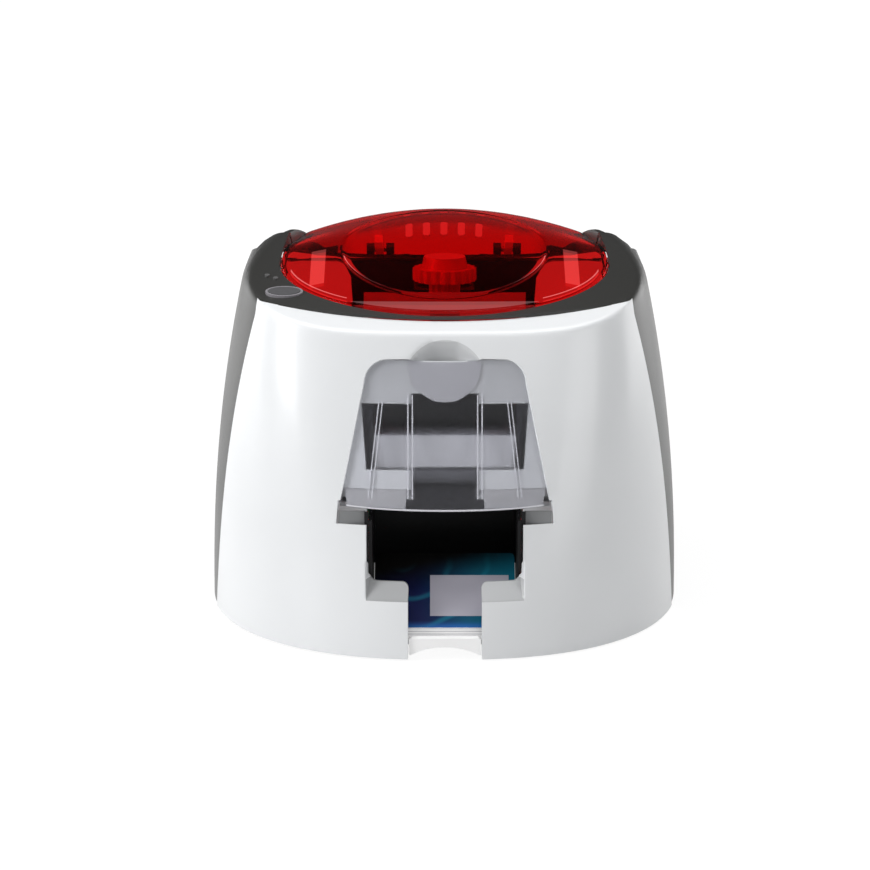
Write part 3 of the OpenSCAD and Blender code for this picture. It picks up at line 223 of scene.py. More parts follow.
def soft_box(name, at, width, height, watts):
    data = bpy.data.lights.new(name, "AREA")
    data.shape, data.size, data.size_y, data.energy = "RECTANGLE", width, height, watts
    lamp = bpy.data.objects.new(name, data)
    lamp.location, lamp.rotation_euler = at, (MIDDLE - Vector(at)).to_track_quat("-Z", "Y").to_euler()
    scene.collection.objects.link(lamp)


soft_box("key box", (-1.65, -0.85, 0.85), 0.7, 1.2, 24)
soft_box("overhead box", (0.0, -0.15, 1.5), 1.4, 1.0, 13.5)
soft_box("fill box", (1.4, -1.4, 0.4), 0.8, 0.8, 6)


def reflector(name, at, width, height, strength):
    """A white card that only glossy faces see: it lightens the sides of the hood."""
    bm = bmesh.new()
    facing = (Vector(at) - MIDDLE).to_track_quat("Z", "Y").to_matrix().to_4x4()
    bmesh.ops.create_grid(bm, x_segments=1, y_segments=1, size=0.5,
                          matrix=Matrix.Translation(at) @ facing @ Matrix.Diagonal((width, height, 1, 1)))
    card = plain_object(bm, name)
    card.visible_camera = card.visible_diffuse = card.visible_transmission = card.visible_shadow = False
    look = Finish(name, (1, 1, 1))
    card.data.materials.append(look.show(look.light(strength)))


reflector("left card", (-2.2, 1.3, 0.6), 2.6, 1.6, 2.6)
reflector("right card", (2.2, 1.3, 0.6), 2.6, 1.6, 3.0)

# %% [markdown]
# ## Finishes
# Each finish is a short function. A moulded surface is never one flat colour: it has a faint grain, a
# little change in gloss where hands touch it, and slow shifts of tone where the plastic cooled.

# %% Moulded plastics
def moulded(name, color, roughness, grain=0.00003, grain_scale=1500, coat=0.0, drift=0.04, glow=0.0, shade=None,
            **constants):
    """Plastic from a mould: spark-eroded grain as bump, with slow drifts of tone and gloss; `shade` mixes in
    painted shade towards black, and `glow` adds painted light as emission.
    """
    look = Finish(name, color, roughness, Coat_Weight=coat, Coat_Roughness=0.12, **constants)
    slow, fine = look.noise(9.0), look.noise(grain_scale, 3.0)
    look.feed("Roughness", slow.ramp(0.3, 0.7, roughness - drift, roughness + drift) + (fine - 0.5) * 0.05)
    base = look.mix(slow.ramp(0.35, 0.65), color, tuple(c * 0.965 for c in color))
    # painted shade: where a shade is given, the colour is mixed towards black
    look.feed("Base Color", look.mix(shade(look), base, (0.0, 0.0, 0.0)) if shade else base)
    look.bumps(fine, grain)
    # painted light: the plastic glows evenly, though it is no lamp
    if glow:
        look.set(Emission_Color=(1, 1, 1, 1), Emission_Strength=glow)
    return look.material


def shell_shade(look):
    """Painted shade where less light reaches: the sloping sill of the window and the hollow above the flap."""
    x, y, z = look.axes()
    sill = (x * x < 0.0477 ** 2) * (z > 0.0366) * (z < 0.0492) * (y < -0.150)
    hollow = (x * x + (z - 0.1659) * (z - 0.1659) < 0.0249 ** 2) * (z > 0.172)
    return (sill * x.ramp(-0.03, 0.03, 0.52, 0.34)).larger(hollow * 0.22)


def fading(axis, low, high, at_low, at_high):
    """A painted shade that changes along one axis, between two places in metres."""
    return lambda look: look.axes()[axis].ramp(low, high, at_low, at_high)


# painted shade on the sill of the window and the hollow above the flap
white_plastic = moulded("white shell plastic", (0.80, 0.815, 0.83), 0.33, 0.00002, 1400, coat=0.25, drift=0.03,
                        shade=shell_shade)
# painted light and shade: the recess plastic glows evenly and is painted darker towards its top
recess_plastic = moulded("white recess plastic", (0.80, 0.81, 0.82), 0.4, 0.00002, 1400, glow=0.17,
                         shade=fading(2, 0.11, 0.165, 0.0, 0.26))
# painted light: the dark slot plastic glows faintly
slot_plastic = moulded("dark slot plastic", (0.035, 0.034, 0.044), 0.45, glow=0.025)
charcoal_plastic = moulded("charcoal hood plastic", (0.026, 0.026, 0.024), 0.38, 0.00005)
# painted light: the inside of the hood is pale and glows, so it shows bright through the red lid
glowing_inner_plastic = moulded("pale inside plastic", (0.70, 0.70, 0.70), 0.45, glow=0.62)
# painted light: the dim plastic of the cartridge wall glows a little
dim_plastic = moulded("dim inside plastic", (0.26, 0.26, 0.26), 0.45, glow=0.11)
# painted light: the grey step plastic glows; below, a darker copy of it gives the step faces painted shade
step_plastic = moulded("grey step plastic", (0.60, 0.60, 0.62), 0.42, glow=0.13)
step_face_plastic = moulded("shaded step plastic", (0.22, 0.225, 0.23), 0.42)
# painted shade: the roll is darker towards its bottom
roll_plastic = moulded("dark grey roll plastic", (0.19, 0.19, 0.205), 0.4, coat=0.3,
                       shade=fading(2, 0.101, 0.109, 0.85, 0.0))
# painted shade: a sheet laid on the top of the blank cards, darker towards the rear
stack_top_shade = moulded("shaded stack top", (0.46, 0.46, 0.50), 0.5,
                            shade=fading(1, -0.158, -0.124, 0.0, 0.9))
rib_plastic = moulded("pale rib plastic", (0.66, 0.66, 0.70), 0.3, 0.00002)
# painted light: a paler copy that glows, for low faces of the feeder bin that lie in shade
lit_foot_plastic = moulded("pale foot plastic", (0.66, 0.66, 0.68), 0.42, glow=0.10)
grey_plastic = moulded("light grey plastic", (0.46, 0.46, 0.475), 0.42)
base_plastic = moulded("pale base plastic", (0.60, 0.60, 0.61), 0.45)
black_plastic = moulded("black hopper plastic", (0.008, 0.008, 0.009), 0.5, 0.00004, Specular_IOR_Level=0.2)
# painted light: the white tray glows a little
tray_plastic = moulded("white tray plastic", (0.84, 0.84, 0.84), 0.35, 0.00002, coat=0.2, glow=0.15)
acetal_plastic = moulded("ivory acetal", (0.70, 0.67, 0.58), 0.38, 0.00002, 2000)
button_plastic = moulded("grey button plastic", (0.09, 0.09, 0.095), 0.30, 0.00003, 2000)
# painted light: the hinge arms glow red, so they show bright through the lid
arm_plastic = moulded("pale red arm plastic", (0.80, 0.16, 0.14), 0.35, Emission_Color=(1.0, 0.12, 0.10, 1),
                      Emission_Strength=0.35)

# %% Metals
def metal(name, color, roughness, streak_axis=0, streak=0.08):
    """Metal with fine drawn streaks along one axis, as rolled sheet and ground rod have."""
    look = Finish(name, color, roughness, 1.0)
    stretch = [220.0, 220.0, 220.0]
    stretch[streak_axis] = 12.0
    mapped = look.node("ShaderNodeMapping", None, {"Vector": look.place(), "Scale": tuple(stretch)})
    lines = look.noise(4.0, 3.0, where=mapped)
    look.feed("Roughness", lines.ramp(0.3, 0.7, roughness - streak, roughness + streak))
    look.bumps(lines, 0.00001, 0.5)
    return look.material


sheet_metal = metal("zinc plated sheet", (0.55, 0.57, 0.58), 0.38, 1)
rod_metal = metal("ground steel rod", (0.62, 0.62, 0.63), 0.22, 0)
fin_metal = metal("extruded aluminium", (0.68, 0.69, 0.70), 0.34, 0)
brass_metal = metal("machined brass", (0.62, 0.43, 0.17), 0.28, 0)
ring_metal = moulded("button ring coat", (0.26, 0.25, 0.27), 0.25, 0.00001, 900)
motor_metal = moulded("black motor coat", (0.02, 0.02, 0.022), 0.4, 0.00004, 1200)


# %% Rubber, film, ceramic and boards
rubber = moulded("matt rubber", (0.018, 0.018, 0.018), 0.75, 0.00006, 1600)
blue_rubber = moulded("blue tacky silicone", (0.10, 0.24, 0.45), 0.5, 0.00004, 1600)
film = moulded("wound ink film", (0.012, 0.012, 0.016), 0.18, 0.00001, 300, coat=0.5)
ceramic = moulded("glazed ceramic", (0.60, 0.50, 0.33), 0.25, 0.00002, 900, coat=0.4)
red_moulded = moulded("red moulded plastic", (0.42, 0.014, 0.02), 0.35, 0.00003, 1500, coat=0.3)
# painted highlight: the knob's top faces are pale and glow
knob_top_highlight = moulded("pale knob cap", (0.42, 0.30, 0.30), 0.4, 0.00002, 1500, glow=0.16)
catch_plastic = moulded("dark red catch", (0.08, 0.004, 0.005), 0.4, 0.00003, 1500)


def circuit_board():
    """Green solder mask over copper tracks, which show as slightly raised paler lines."""
    look = Finish("circuit board", (0.01, 0.10, 0.04), 0.35, Coat_Weight=0.4)
    x, y, z = look.axes()
    track = look.node("ShaderNodeTexBrick", {"offset": 0.5}, {"Vector": look.place(), "Scale": 90.0,
                      "Mortar Size": 0.04}, output=1)
    look.feed("Base Color", look.mix(track, (0.01, 0.10, 0.04), (0.03, 0.22, 0.09)))
    look.bumps(track, 0.00003)
    return look.material


board_green = circuit_board()


def card_stock(name, lean, pale, shade, glow):
    """Laminated cards in a stack that leans by an angle: a fine dark line shows between two cards, and the cards
    glow a little as painted light.
    """
    look = Finish(name, pale, 0.22, Emission_Color=(1, 1, 1, 1), Emission_Strength=glow)
    x, y, z = look.axes()
    layer = (z * math.cos(lean) - y * math.sin(lean)) * (1 / 0.00152)
    line = look.node("ShaderNodeMath", {"operation": "PINGPONG"}, {0: layer, 1: 1.0}).ramp(0.72, 0.98)
    look.feed("Base Color", look.mix(line, pale, shade))
    look.feed("Roughness", look.noise(30.0, 1.0).ramp(0.3, 0.7, 0.18, 0.28))
    return look.material


# painted light: both stacks glow a little
white_card = card_stock("white laminated card", math.radians(42), (0.84, 0.84, 0.84), (0.16, 0.15, 0.22),
                        0.13)
blank_card = card_stock("blank card stack", 0.0, (0.74, 0.74, 0.77), (0.67, 0.67, 0.71), 0.11)
print("finishes:", len(bpy.data.materials))


# %% Clear plastics
def clear(name, tint, shade, roughness, ior, painted_gleams=None):
    """Clear plastic that lamps shine through: rays that carry shadow pass it tinted, not blocked."""
    look = Finish(name, tint, roughness, Transmission_Weight=1.0, IOR=ior)
    look.feed("Roughness", look.noise(40.0).ramp(0.35, 0.65, roughness, roughness + 0.03))
    if painted_gleams:
        painted_gleams(look)
    passing = look.node("ShaderNodeBsdfTransparent", None, {"Color": (*shade, 1)})
    return look.show(look.either(look.ray("Shadow"), look.shader, passing))


LID_RED, SHADED_RED = (0.62, 0.008, 0.008), (0.34, 0.004, 0.004)


def lid_gleams(look):
    """Painted highlights, as emission, where the moulded edges would catch light: front lip, lower ring line and
    rim arcs, and two pale rectangles at the sides as painted reflections. Painted shade makes the crest a deeper
    red.
    """
    x, y, z = look.axes()
    side = x * x
    rim = (side * (1 / 0.103 ** 2) + (y + 0.062) * (y + 0.062) * (1 / 0.075 ** 2)) ** 0.5
    lip = (y - side * 1.87 < -0.1283) * (rim < 0.978)
    ring = (side + (y + 0.058) * (y + 0.058)) ** 0.5
    line = (ring > 0.0637) * (ring < 0.0645) * (y < -0.070)
    arcs = (rim > 0.949) * (rim < 0.957) * (side > 0.0036) * (side < 0.0092) * (y < -0.070)
    pane_reflections = (side > 0.0745 ** 2) * (side < 0.0835 ** 2) * (y > -0.100) * (y < -0.058)
    glow = look.mix(pane_reflections, look.mix(lip, (0.0, 0.0, 0.0), (0.11, 0.06, 0.06)), (0.20, 0.035, 0.033))
    look.feed("Emission Color", look.mix(line.larger(arcs), glow, (0.40, 0.14, 0.14)))
    look.set(Emission_Strength=1.0)
    # painted shade: the crest of the dome is a deeper red
    crest = y.ramp(0.012, 0.030) * y.ramp(0.064, 0.078, 1.0, 0.0)
    look.feed("Base Color", look.mix(crest, LID_RED, SHADED_RED))


red_clear = clear("clear red lid", LID_RED, (0.98, 0.88, 0.88), 0.02, 1.08, lid_gleams)
smoke_clear = clear("smoked clear flap", (0.525, 0.53, 0.55), (0.84, 0.84, 0.86), 0.3, 1.3)
smoke_dense = moulded("frosted finger dish", (0.44, 0.44, 0.47), 0.4, 0.00002, 900, Alpha=0.85)
flange_plastic = moulded("frosted flap flange", (0.46, 0.46, 0.48), 0.4, 0.00002, 900, Alpha=0.82)
light_pipe = moulded("frosted light pipe", (0.11, 0.11, 0.11), 0.3, 0.00002, 900)

# %% [markdown]
# ## Finishes for the CAD nodes
# Every node gets its finish in one table, so that nothing is left with the plain colour it was packed with.

# %% Assign finishes
FINISHES = {
    white_plastic: ["front_shell"], charcoal_plastic: ["hood", "rear_cover"], grey_plastic: ["feeder_bin"],
    base_plastic: ["base_tray"], tray_plastic: ["output_tray"], red_clear: ["lid"],
    smoke_clear: ["feeder_flap"], red_moulded: ["head_knob"], catch_plastic: ["lid_catch"],
    arm_plastic: ["lid_hinge_arms"],
    black_plastic: ["hopper_box", "head_bridge", "card_gate", "fan_frame", "fan_rotor", "power_inlet",
                    "flap_pins"],
    rubber: ["rubber_feet", "pick_roller", "feed_roller", "platen_roller", "back_feed_roller", "exit_roller",
             "pick_belt"],
    rod_metal: ["lid_hinge_pins", "cross_bars", "front_pinch_roller", "back_pinch_roller", "cover_screws"],
    sheet_metal: ["left_side_plate", "right_side_plate", "motor_bracket", "fan_bracket", "usb_socket"],
    acetal_plastic: ["feed_idler_gear", "back_idler_gear", "exit_idler_gear"], brass_metal: ["motor_pinion"],
    fin_metal: ["heat_sink"], motor_metal: ["drive_motor"], ceramic: ["print_head"],
    film: ["supply_spool", "takeup_spool", "ribbon_film"], blue_rubber: ["cleaning_roller"],
    board_green: ["main_board", "button_switch"], button_plastic: ["power_button"],
    ring_metal: ["button_ring"],
    light_pipe: ["indicator_lights"], white_card: ["printed_cards"], blank_card: ["blank_cards"],
}
finished = set()
for look, names in FINISHES.items():
    for name in names:
        node = nodes[name]
        node.data.materials.clear()
        node.data.materials.append(look)
        for face in node.data.polygons:
            face.material_index = 0
        finished.add(name)
print("unfinished nodes:", sorted(set(nodes) - finished))

# %% Painted highlight on the top of the knob
knob_node = nodes["head_knob"]
knob_node.data.materials.append(knob_top_highlight)
for face in knob_node.data.polygons:
    if face.normal.z > 0.9 and (knob_node.matrix_world @ face.center).z > 0.2215:
        face.material_index = 1

# %% Zones of the feeder bin
# The panels behind the flap are pale, the shelves beside the window grey, the inside of the bin black. Low front
# faces beside the middle get a paler plastic that glows, as painted light.
bin_node = nodes["feeder_bin"]
for look in (slot_plastic, step_plastic, lit_foot_plastic):
    bin_node.data.materials.append(look)
for face in bin_node.data.polygons:
    middle = bin_node.matrix_world @ face.center / MM
    normal = bin_node.matrix_world.to_3x3() @ face.normal
    if middle.z < 95.5:
        face.material_index = 2
    # painted light: low front faces in shade get the paler glowing plastic
    elif middle.z < 102 and abs(middle.x) > 22 and normal.y < -0.3:
        face.material_index = 3
    elif middle.y > -152 or normal.y > -0.3 or (middle.z > 104 and abs(middle.x) > 42):
        face.material_index = 1

# %% [markdown]
# ## The form of the housing
# The body is a stack of superellipses. Low down the plan is almost an oval, higher up it grows squarer,
# and every side leans in. The same five curves place the shell, the flap and the recess behind it.
# All shape maths below is in millimetres.

# %% Curves of the form
BODY_W, BODY_D, BODY_H, SHOULDER = 304.0, 380.0, 246.0, 130.0
COLLAR_Z, COLLAR_Y, COLLAR_SLOPE = 203.0, -140.0, 0.267
REF_Z = COLLAR_Z + 6
WALL, SEAM_GAP, HOOD_STEP = 2.6, 0.6, 0.9


def spow(value, power):
    return math.copysign(abs(value) ** power, value)


def half_w(z):
    return BODY_W / 2 - (BODY_W / 2 - SHOULDER) * (max(z, 0) / REF_Z) ** 2.05


def front_y(z):
    return -BODY_D / 2 + 43 * (max(z, 0) / REF_Z) ** 1.55


def rear_y(z):
    return BODY_D / 2 - 40 * (max(z, 0) / REF_Z) ** 2


def squareness(z):
    return 2.35 + 1.6 * min(max(z, 0) / REF_Z, 1.15) ** 1.5


def form_at(a, z, grow=0.0):
    power = 2 / squareness(z)
    middle, half = (front_y(z) + rear_y(z)) / 2, (rear_y(z) - front_y(z)) / 2
    return Vector(((half_w(z) + grow) * spow(math.cos(a), power),
                   middle + (half + grow) * spow(math.sin(a), power), z))


def collar_at(y):
    return COLLAR_Z + COLLAR_SLOPE * (y - COLLAR_Y)


print("front leans back by", round(front_y(REF_Z) - front_y(0), 1), "mm")

# %% [markdown]
# The front shell is laid out flat first. One coordinate runs around the body as true arc length `s`,
# the other is height `t`; above the crease it carries on along the sloping top band. Laid out that way,
# an even inset of the outline becomes an even rounded edge once the sheet is wrapped round the body.

# %% Wrapping a flat sheet round the body
ARC_STEPS = 160


@cache
def arc_table(z):
    """Rows of arc length, angle and x, from the middle of the front round to the side."""
    run, table, last = 0.0, [], None
    for k in range(ARC_STEPS + 1):
        a = -math.pi / 2 + math.pi / 2 * k / ARC_STEPS
        here = form_at(a, z)
        run += (here - last).length if last else 0.0
        table.append((run, a, here.x))
        last = here
    return table


def blend_table(table, column, value, result):
    """Finds a value in one column of a table, and blends another column between the rows round it."""
    high = bisect_left(table, value, 1, len(table) - 1, key=lambda row: row[column])
    first, second = table[high - 1], table[high]
    k = (value - first[column]) / max(second[column] - first[column], 1e-9)
    return first[result] + (second[result] - first[result]) * k


def arc_of(x, z):
    """Arc length from the middle of the front out to a given x."""
    return math.copysign(blend_table(arc_table(round(z, 1)), 2, abs(x), 0), x)


def on_face(s, z):
    point = form_at(blend_table(arc_table(round(z, 1)), 0, abs(s), 1), z)
    point.x = math.copysign(point.x, s)
    return point


def halving(low, high, steps, is_low):
    """Halves a span again and again, and keeps the half that holds the answer."""
    for _ in range(steps):
        middle = (low + high) / 2
        low, high = (middle, high) if is_low(middle) else (low, middle)
    return low


SEAM_HEAD, BEVEL_SLOPE, CREASE_R = -117.0, 0.40, 1.6
BEVEL_Z = collar_at(SEAM_HEAD) - 0.6
BEVEL = Vector((0, 1, BEVEL_SLOPE)).normalized()


@cache
def crease_z(s):
    return halving(180.0, 215.0, 18, lambda z: z < BEVEL_Z + BEVEL_SLOPE * (on_face(s, z).y - SEAM_HEAD))


def crease(s):
    """Height of the crease under the sloping band, blended between places a quarter of a millimetre apart."""
    key = round(abs(s) * 4)
    low, high = crease_z(key / 4), crease_z((key + 1) / 4)
    return low + (high - low) * (abs(s) * 4 - key)


def wrap(s, t):
    """Point of the white front: on the face up to the crease, then along the sloping band."""
    top = crease(s)
    if t <= top - CREASE_R:
        return on_face(s, t)
    corner = on_face(s, top)
    if t >= top + CREASE_R:
        return corner + BEVEL * (t - top)
    k = (t - top + CREASE_R) / (2 * CREASE_R)
    before, after = on_face(s, top - CREASE_R), corner + BEVEL * CREASE_R
    return before * (1 - k) ** 2 + corner * 2 * k * (1 - k) + after * k * k


def outward(s, t, d=0.4):
    return (wrap(s + d, t) - wrap(s - d, t)).cross(wrap(s, t + d) - wrap(s, t - d)).normalized()


print("crease at the middle:", round(crease(0), 2))

# %% [markdown]
# A moulded sheet is made from its flat outline: three insets give the rounded edge, planes cut the middle
# into a fine grid, the sheet is wrapped round the body, and its rim is pulled inward to give the wall.

# %% Sheets with rounded edges
EDGE_STEPS = 3


def kept(items, kind):
    return [item for item in items if isinstance(item, kind)]


def sheet(outline, thick, dent=lambda s, t: 0.0, edge=0.8, step=(3.0, 3.0), lines=((), ()), back=False):
    """A wrapped sheet as a bmesh in metres; `thick` and `dent` tell how deep its back and its face lie."""
    bm = bmesh.new()
    depth = bm.verts.layers.float.new("depth")
    face = bm.faces.new([bm.verts.new((s, t, 0)) for s, t in outline])
    for vert in bm.verts:
        vert[depth] = edge
    gone = 0.0
    for k in range(1, EDGE_STEPS + 1):
        swing = math.pi / 2 * k / EDGE_STEPS
        inset = edge * (1 - math.cos(swing))
        bmesh.ops.inset_region(bm, faces=[face], thickness=inset - gone, use_even_offset=True)
        gone = inset
        for vert in face.verts:
            vert[depth] = edge * (1 - math.sin(swing))
    spans = [(min(v.co[axis] for v in bm.verts), max(v.co[axis] for v in bm.verts)) for axis in (0, 1)]
    for axis, (low, high) in enumerate(spans):
        count = int((high - low) / step[axis])
        places = [low + (high - low) * (k + 0.5) / count for k in range(count)] + list(lines[axis])
        normal = ((1, 0, 0), (0, 1, 0))[axis]
        for place in places:
            if low < place < high:
                bmesh.ops.bisect_plane(bm, geom=bm.verts[:] + bm.edges[:] + bm.faces[:], dist=0.02,
                                       plane_co=Vector(normal) * place, plane_no=normal)
    rim = [edge_ for edge_ in bm.edges if edge_.is_boundary]
    if back:
        copied = bmesh.ops.duplicate(bm, geom=bm.verts[:] + bm.edges[:] + bm.faces[:])["geom"]
        for vert in kept(copied, bmesh.types.BMVert):
            vert[depth] = thick(vert.co.x, vert.co.y) - vert[depth]
        bmesh.ops.reverse_faces(bm, faces=kept(copied, bmesh.types.BMFace))
        far_rim = [edge_ for edge_ in kept(copied, bmesh.types.BMEdge) if edge_.is_boundary]
        bmesh.ops.bridge_loops(bm, edges=rim + far_rim)
    else:
        for vert in kept(bmesh.ops.extrude_edge_only(bm, edges=rim)["geom"], bmesh.types.BMVert):
            vert[depth] = thick(vert.co.x, vert.co.y)
    for vert in bm.verts:
        s, t = vert.co.x, vert.co.y
        vert.co = (wrap(s, t) - outward(s, t) * (vert[depth] + dent(s, t))) * MM
    bmesh.ops.recalc_face_normals(bm, faces=bm.faces)
    return bm


def dress(made, look, degrees=35.0):
    """One finish all over, and smooth shading that stops at edges which turn more than an angle."""
    made.data.materials.clear()
    made.data.materials.append(look)
    for polygon in made.data.polygons:
        polygon.use_smooth = True
        polygon.material_index = 0
    work = bmesh.new()
    work.from_mesh(made.data)
    for edge_ in work.edges:
        edge_.smooth = len(edge_.link_faces) == 2 and edge_.calc_face_angle(0) < math.radians(degrees)
    work.to_mesh(made.data)
    work.free()
    return made

# %% [markdown]
# ## The white front shell
# Its outline runs down both seams, along the foot, and round one connected opening: the finger notch, the
# output window with its sloping sill, the step for the hinge pins and the recess of the feeder flap.

# %% Outline helpers
WINDOW_W, WINDOW_Z, WINDOW_R = 47.6, 48.0, 5.0
NOTCH_W, NOTCH_R = 22.4, 4.0
RAMP_Z, RAMP_DEPTH = WINDOW_Z - 11, 7.0
FLAP_Z, FLAP_TOP, FLAP_W, FLAP_TOP_W, FLAP_R, FLAP_BOW = 93.0, 179.3, 63.4, 48.5, 14.0, 2.5
RECESS_Z, RECESS_W = FLAP_Z - 11, FLAP_W + 2.4
FOOT_Z, DIP_W, DIP = 1.5, 22.5, 0.5
ARC_HALF, ARC_SAG = SHOULDER - 16.2, 22.0
ARC_R = (ARC_HALF ** 2 + ARC_SAG ** 2) / (2 * ARC_SAG)


def seam_y(z):
    return SEAM_HEAD + 50 * (1 - min(max(z, 0) / REF_Z, 1)) ** 1.6


def arc_at_y(z, y):
    """Arc length on the right side where the face reaches a given y."""
    return halving(0.0, arc_table(round(z, 1))[-1][0], 24, lambda s: on_face(s, z).y < y)


def path(points, step=2.5):
    """Fills straight runs of an (x, z) path with points, so that it stays straight on the body."""
    filled = []
    for (x0, z0), (x1, z1) in zip(points, points[1:]):
        count = max(1, int(math.hypot(x1 - x0, z1 - z0) / step))
        filled += [(x0 + (x1 - x0) * k / count, z0 + (z1 - z0) * k / count) for k in range(count)]
    return filled + [points[-1]]


def arc(x, z, radius, start, end, count=8):
    turns = [math.radians(start + (end - start) * k / count) for k in range(count + 1)]
    return [(x + radius * math.cos(a), z + radius * math.sin(a)) for a in turns]


def flat(points):
    return [(arc_of(x, z), z) for x, z in points]


def cleaned(points, least=0.25):
    """Drops points that lie almost on the one before."""
    far_apart = []
    for point in points:
        if not far_apart or math.dist(point, far_apart[-1]) > least:
            far_apart.append(point)
    if math.dist(far_apart[0], far_apart[-1]) <= least:
        far_apart.pop()
    return far_apart


def both_halves(right):
    """Completes an outline whose right half runs from the middle line round to the middle line."""
    return cleaned(right[:-1] + [(-s, t) for s, t in reversed(right)])


def flap_side(grow):
    """The flap's rounded top right corner, from the top down."""
    return arc(FLAP_TOP_W - FLAP_R, FLAP_TOP - FLAP_R, FLAP_R + grow, 0, 90)[::-1]


def head_curve(rise, dip):
    """Top edge from the middle to the right: it dips where the finger scoop meets it."""
    return [(DIP_W * k / 10, FLAP_TOP + rise - dip * (1 - (k / 10) ** 2)) for k in range(11)]

# %% Outline of the shell
def band_top(s):
    corner = on_face(s, crease(s))
    reach = COLLAR_Y + ARC_R - math.sqrt(ARC_R ** 2 - corner.x ** 2)
    return crease(s) + max(min(reach, SEAM_HEAD) - corner.y + 1.0, 1.0) / BEVEL.y


seam = [(arc_at_y(z, seam_y(z)), z) for z in [FOOT_Z + (200 - FOOT_Z) * k / 60 for k in range(61)]]
seam_end = arc_at_y(204.0, SEAM_HEAD)
half_top = [(seam_end * (1 - k / 48), band_top(seam_end * (1 - k / 48))) for k in range(49)]
opening = flat(path(head_curve(0.5, 3.7) + flap_side(0.5) + [(63.2, 96.0), (64.6, 96.0), (RECESS_W, RECESS_Z),
                                                             (WINDOW_W, RECESS_Z)]
                    + arc(WINDOW_W - WINDOW_R, WINDOW_Z + WINDOW_R, WINDOW_R, 0, -90)
                    + arc(NOTCH_W + NOTCH_R, WINDOW_Z - NOTCH_R, NOTCH_R, 90, 180) + [(NOTCH_W, FOOT_Z)]))
foot = [p for p in flat(path([(NOTCH_W, FOOT_Z), (130, FOOT_Z)], 4.0))[1:-1] if p[0] < seam[0][0] - 2]
# From the top of the opening down its right side, out along the foot, up the seam and back over the top
shell_outline = both_halves(opening + foot + seam + half_top)
print("shell outline points:", len(shell_outline))


# %% How the shell is pressed in
SCOOP_R, SCOOP_BALL, SCOOP_Z = 25.2, 33.0, FLAP_TOP - 13.4


def shell_dent(s, t):
    depth = 0.0
    if RAMP_Z < t < WINDOW_Z + 12 and abs(s) < 60:
        x = abs(on_face(s, t).x)
        across = min(max((WINDOW_W + 0.4 - x) / 0.8, 0), 1)
        depth += RAMP_DEPTH * min((t - RAMP_Z) / (WINDOW_Z - RAMP_Z), 1) * across
    away = math.hypot(s, (t - SCOOP_Z) * 1.04)
    if away < SCOOP_R:
        depth += math.sqrt(SCOOP_BALL ** 2 - away ** 2) - math.sqrt(SCOOP_BALL ** 2 - SCOOP_R ** 2)
    return depth


def shell_wall(s, t):
    return 6.6 if 102 < t < FLAP_TOP + 2 and abs(s) < 70 else WALL


window_s = arc_of(WINDOW_W, WINDOW_Z)
extra_s = [side * (window_s + d) for side in (-1, 1) for d in (-0.5, -0.1, 0.3, 0.7)]
extra_t = [RAMP_Z - 0.3, RAMP_Z + 0.3, RAMP_Z + 1.2, RAMP_Z + 4, RAMP_Z + 8, WINDOW_Z - 0.3]
shell_bm = sheet(shell_outline, shell_wall, shell_dent, edge=0.7, step=(2.4, 2.4), lines=(extra_s, extra_t))
shell = dress(plain_object(shell_bm, "front_shell_fine"), white_plastic, 40)
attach(shell, "housing")
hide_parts("front_shell")
print("shell faces:", len(shell.data.polygons))

# %% [markdown]
# ## The recess and the feeder flap
# The flap lies in a recess whose floor is open in front of the cards. Both are sheets of the same form,
# one pressed in behind the other, so the gap between them stays even.

# %% Recess floor behind the flap
FLAP_T, SINK, RECESS_T, SLOT_TOP, BAR_Z, MIDDLE_X = 2.2, 3.1, 2.0, 154.0, 103.6, 20.5


def edge_x(z, grow):
    low, high = FLAP_Z - grow, FLAP_TOP - FLAP_R
    return FLAP_W + grow + (FLAP_TOP_W - FLAP_W) * (z - low) / (high - low)


recess_right = path(head_curve(0, DIP) + flap_side(0.5) + [
    (edge_x(BAR_Z, 0.5), BAR_Z), (MIDDLE_X, BAR_Z), (MIDDLE_X, 115), (48, 115), (50.8, SLOT_TOP),
    (MIDDLE_X, SLOT_TOP), (MIDDLE_X, SLOT_TOP + 6), (0, SLOT_TOP + 6)])
recess_bm = sheet(both_halves(flat(recess_right)), lambda s, t: RECESS_T, lambda s, t: SINK, edge=0.4,
                  step=(4, 4))
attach(dress(plain_object(recess_bm, "flap_recess_fine"), recess_plastic, 40), "housing")

# %% Flap panel with its finger dish
bow = [(FLAP_W * k / 16, FLAP_Z - FLAP_BOW * (1 - (k / 16) ** 2)) for k in range(17)]
flap_outline = both_halves(flat(path(head_curve(0, DIP) + flap_side(0) + bow[::-1])))
DISH_MID, DISH_WIDE, DISH_TALL = 175.5, 22.0, 21.0


def finger_dish(s, t):
    away = math.hypot(s / DISH_WIDE, (t - DISH_MID) / DISH_TALL)
    return 1.3 * (1 - away * away) ** 0.7 if away < 1 and t < FLAP_TOP else 0.0


flap_bm = sheet(flap_outline, lambda s, t: FLAP_T, finger_dish, edge=0.6, step=(2.5, 2.5), back=True)
flap = dress(plain_object(flap_bm, "feeder_flap_fine"), smoke_clear, 40)
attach(flap, "flap")
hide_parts("feeder_flap")


# %% Ribs, flanges, a painted highlight along the lower edge, and the frosted dish of the flap
def on_flap(name, points, thick, look, sink=FLAP_T - 0.15, edge=0.15):
    """A rib or band moulded on the flap's inner side, from its closed outline."""
    outline = cleaned(flat(path(points + points[:1], 3.0)), 0.1)
    bm = sheet(outline, lambda s, t: thick, lambda s, t: sink, edge=edge, step=(6, 6), back=True)
    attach(dress(plain_object(bm, name), look, 40), "flap")


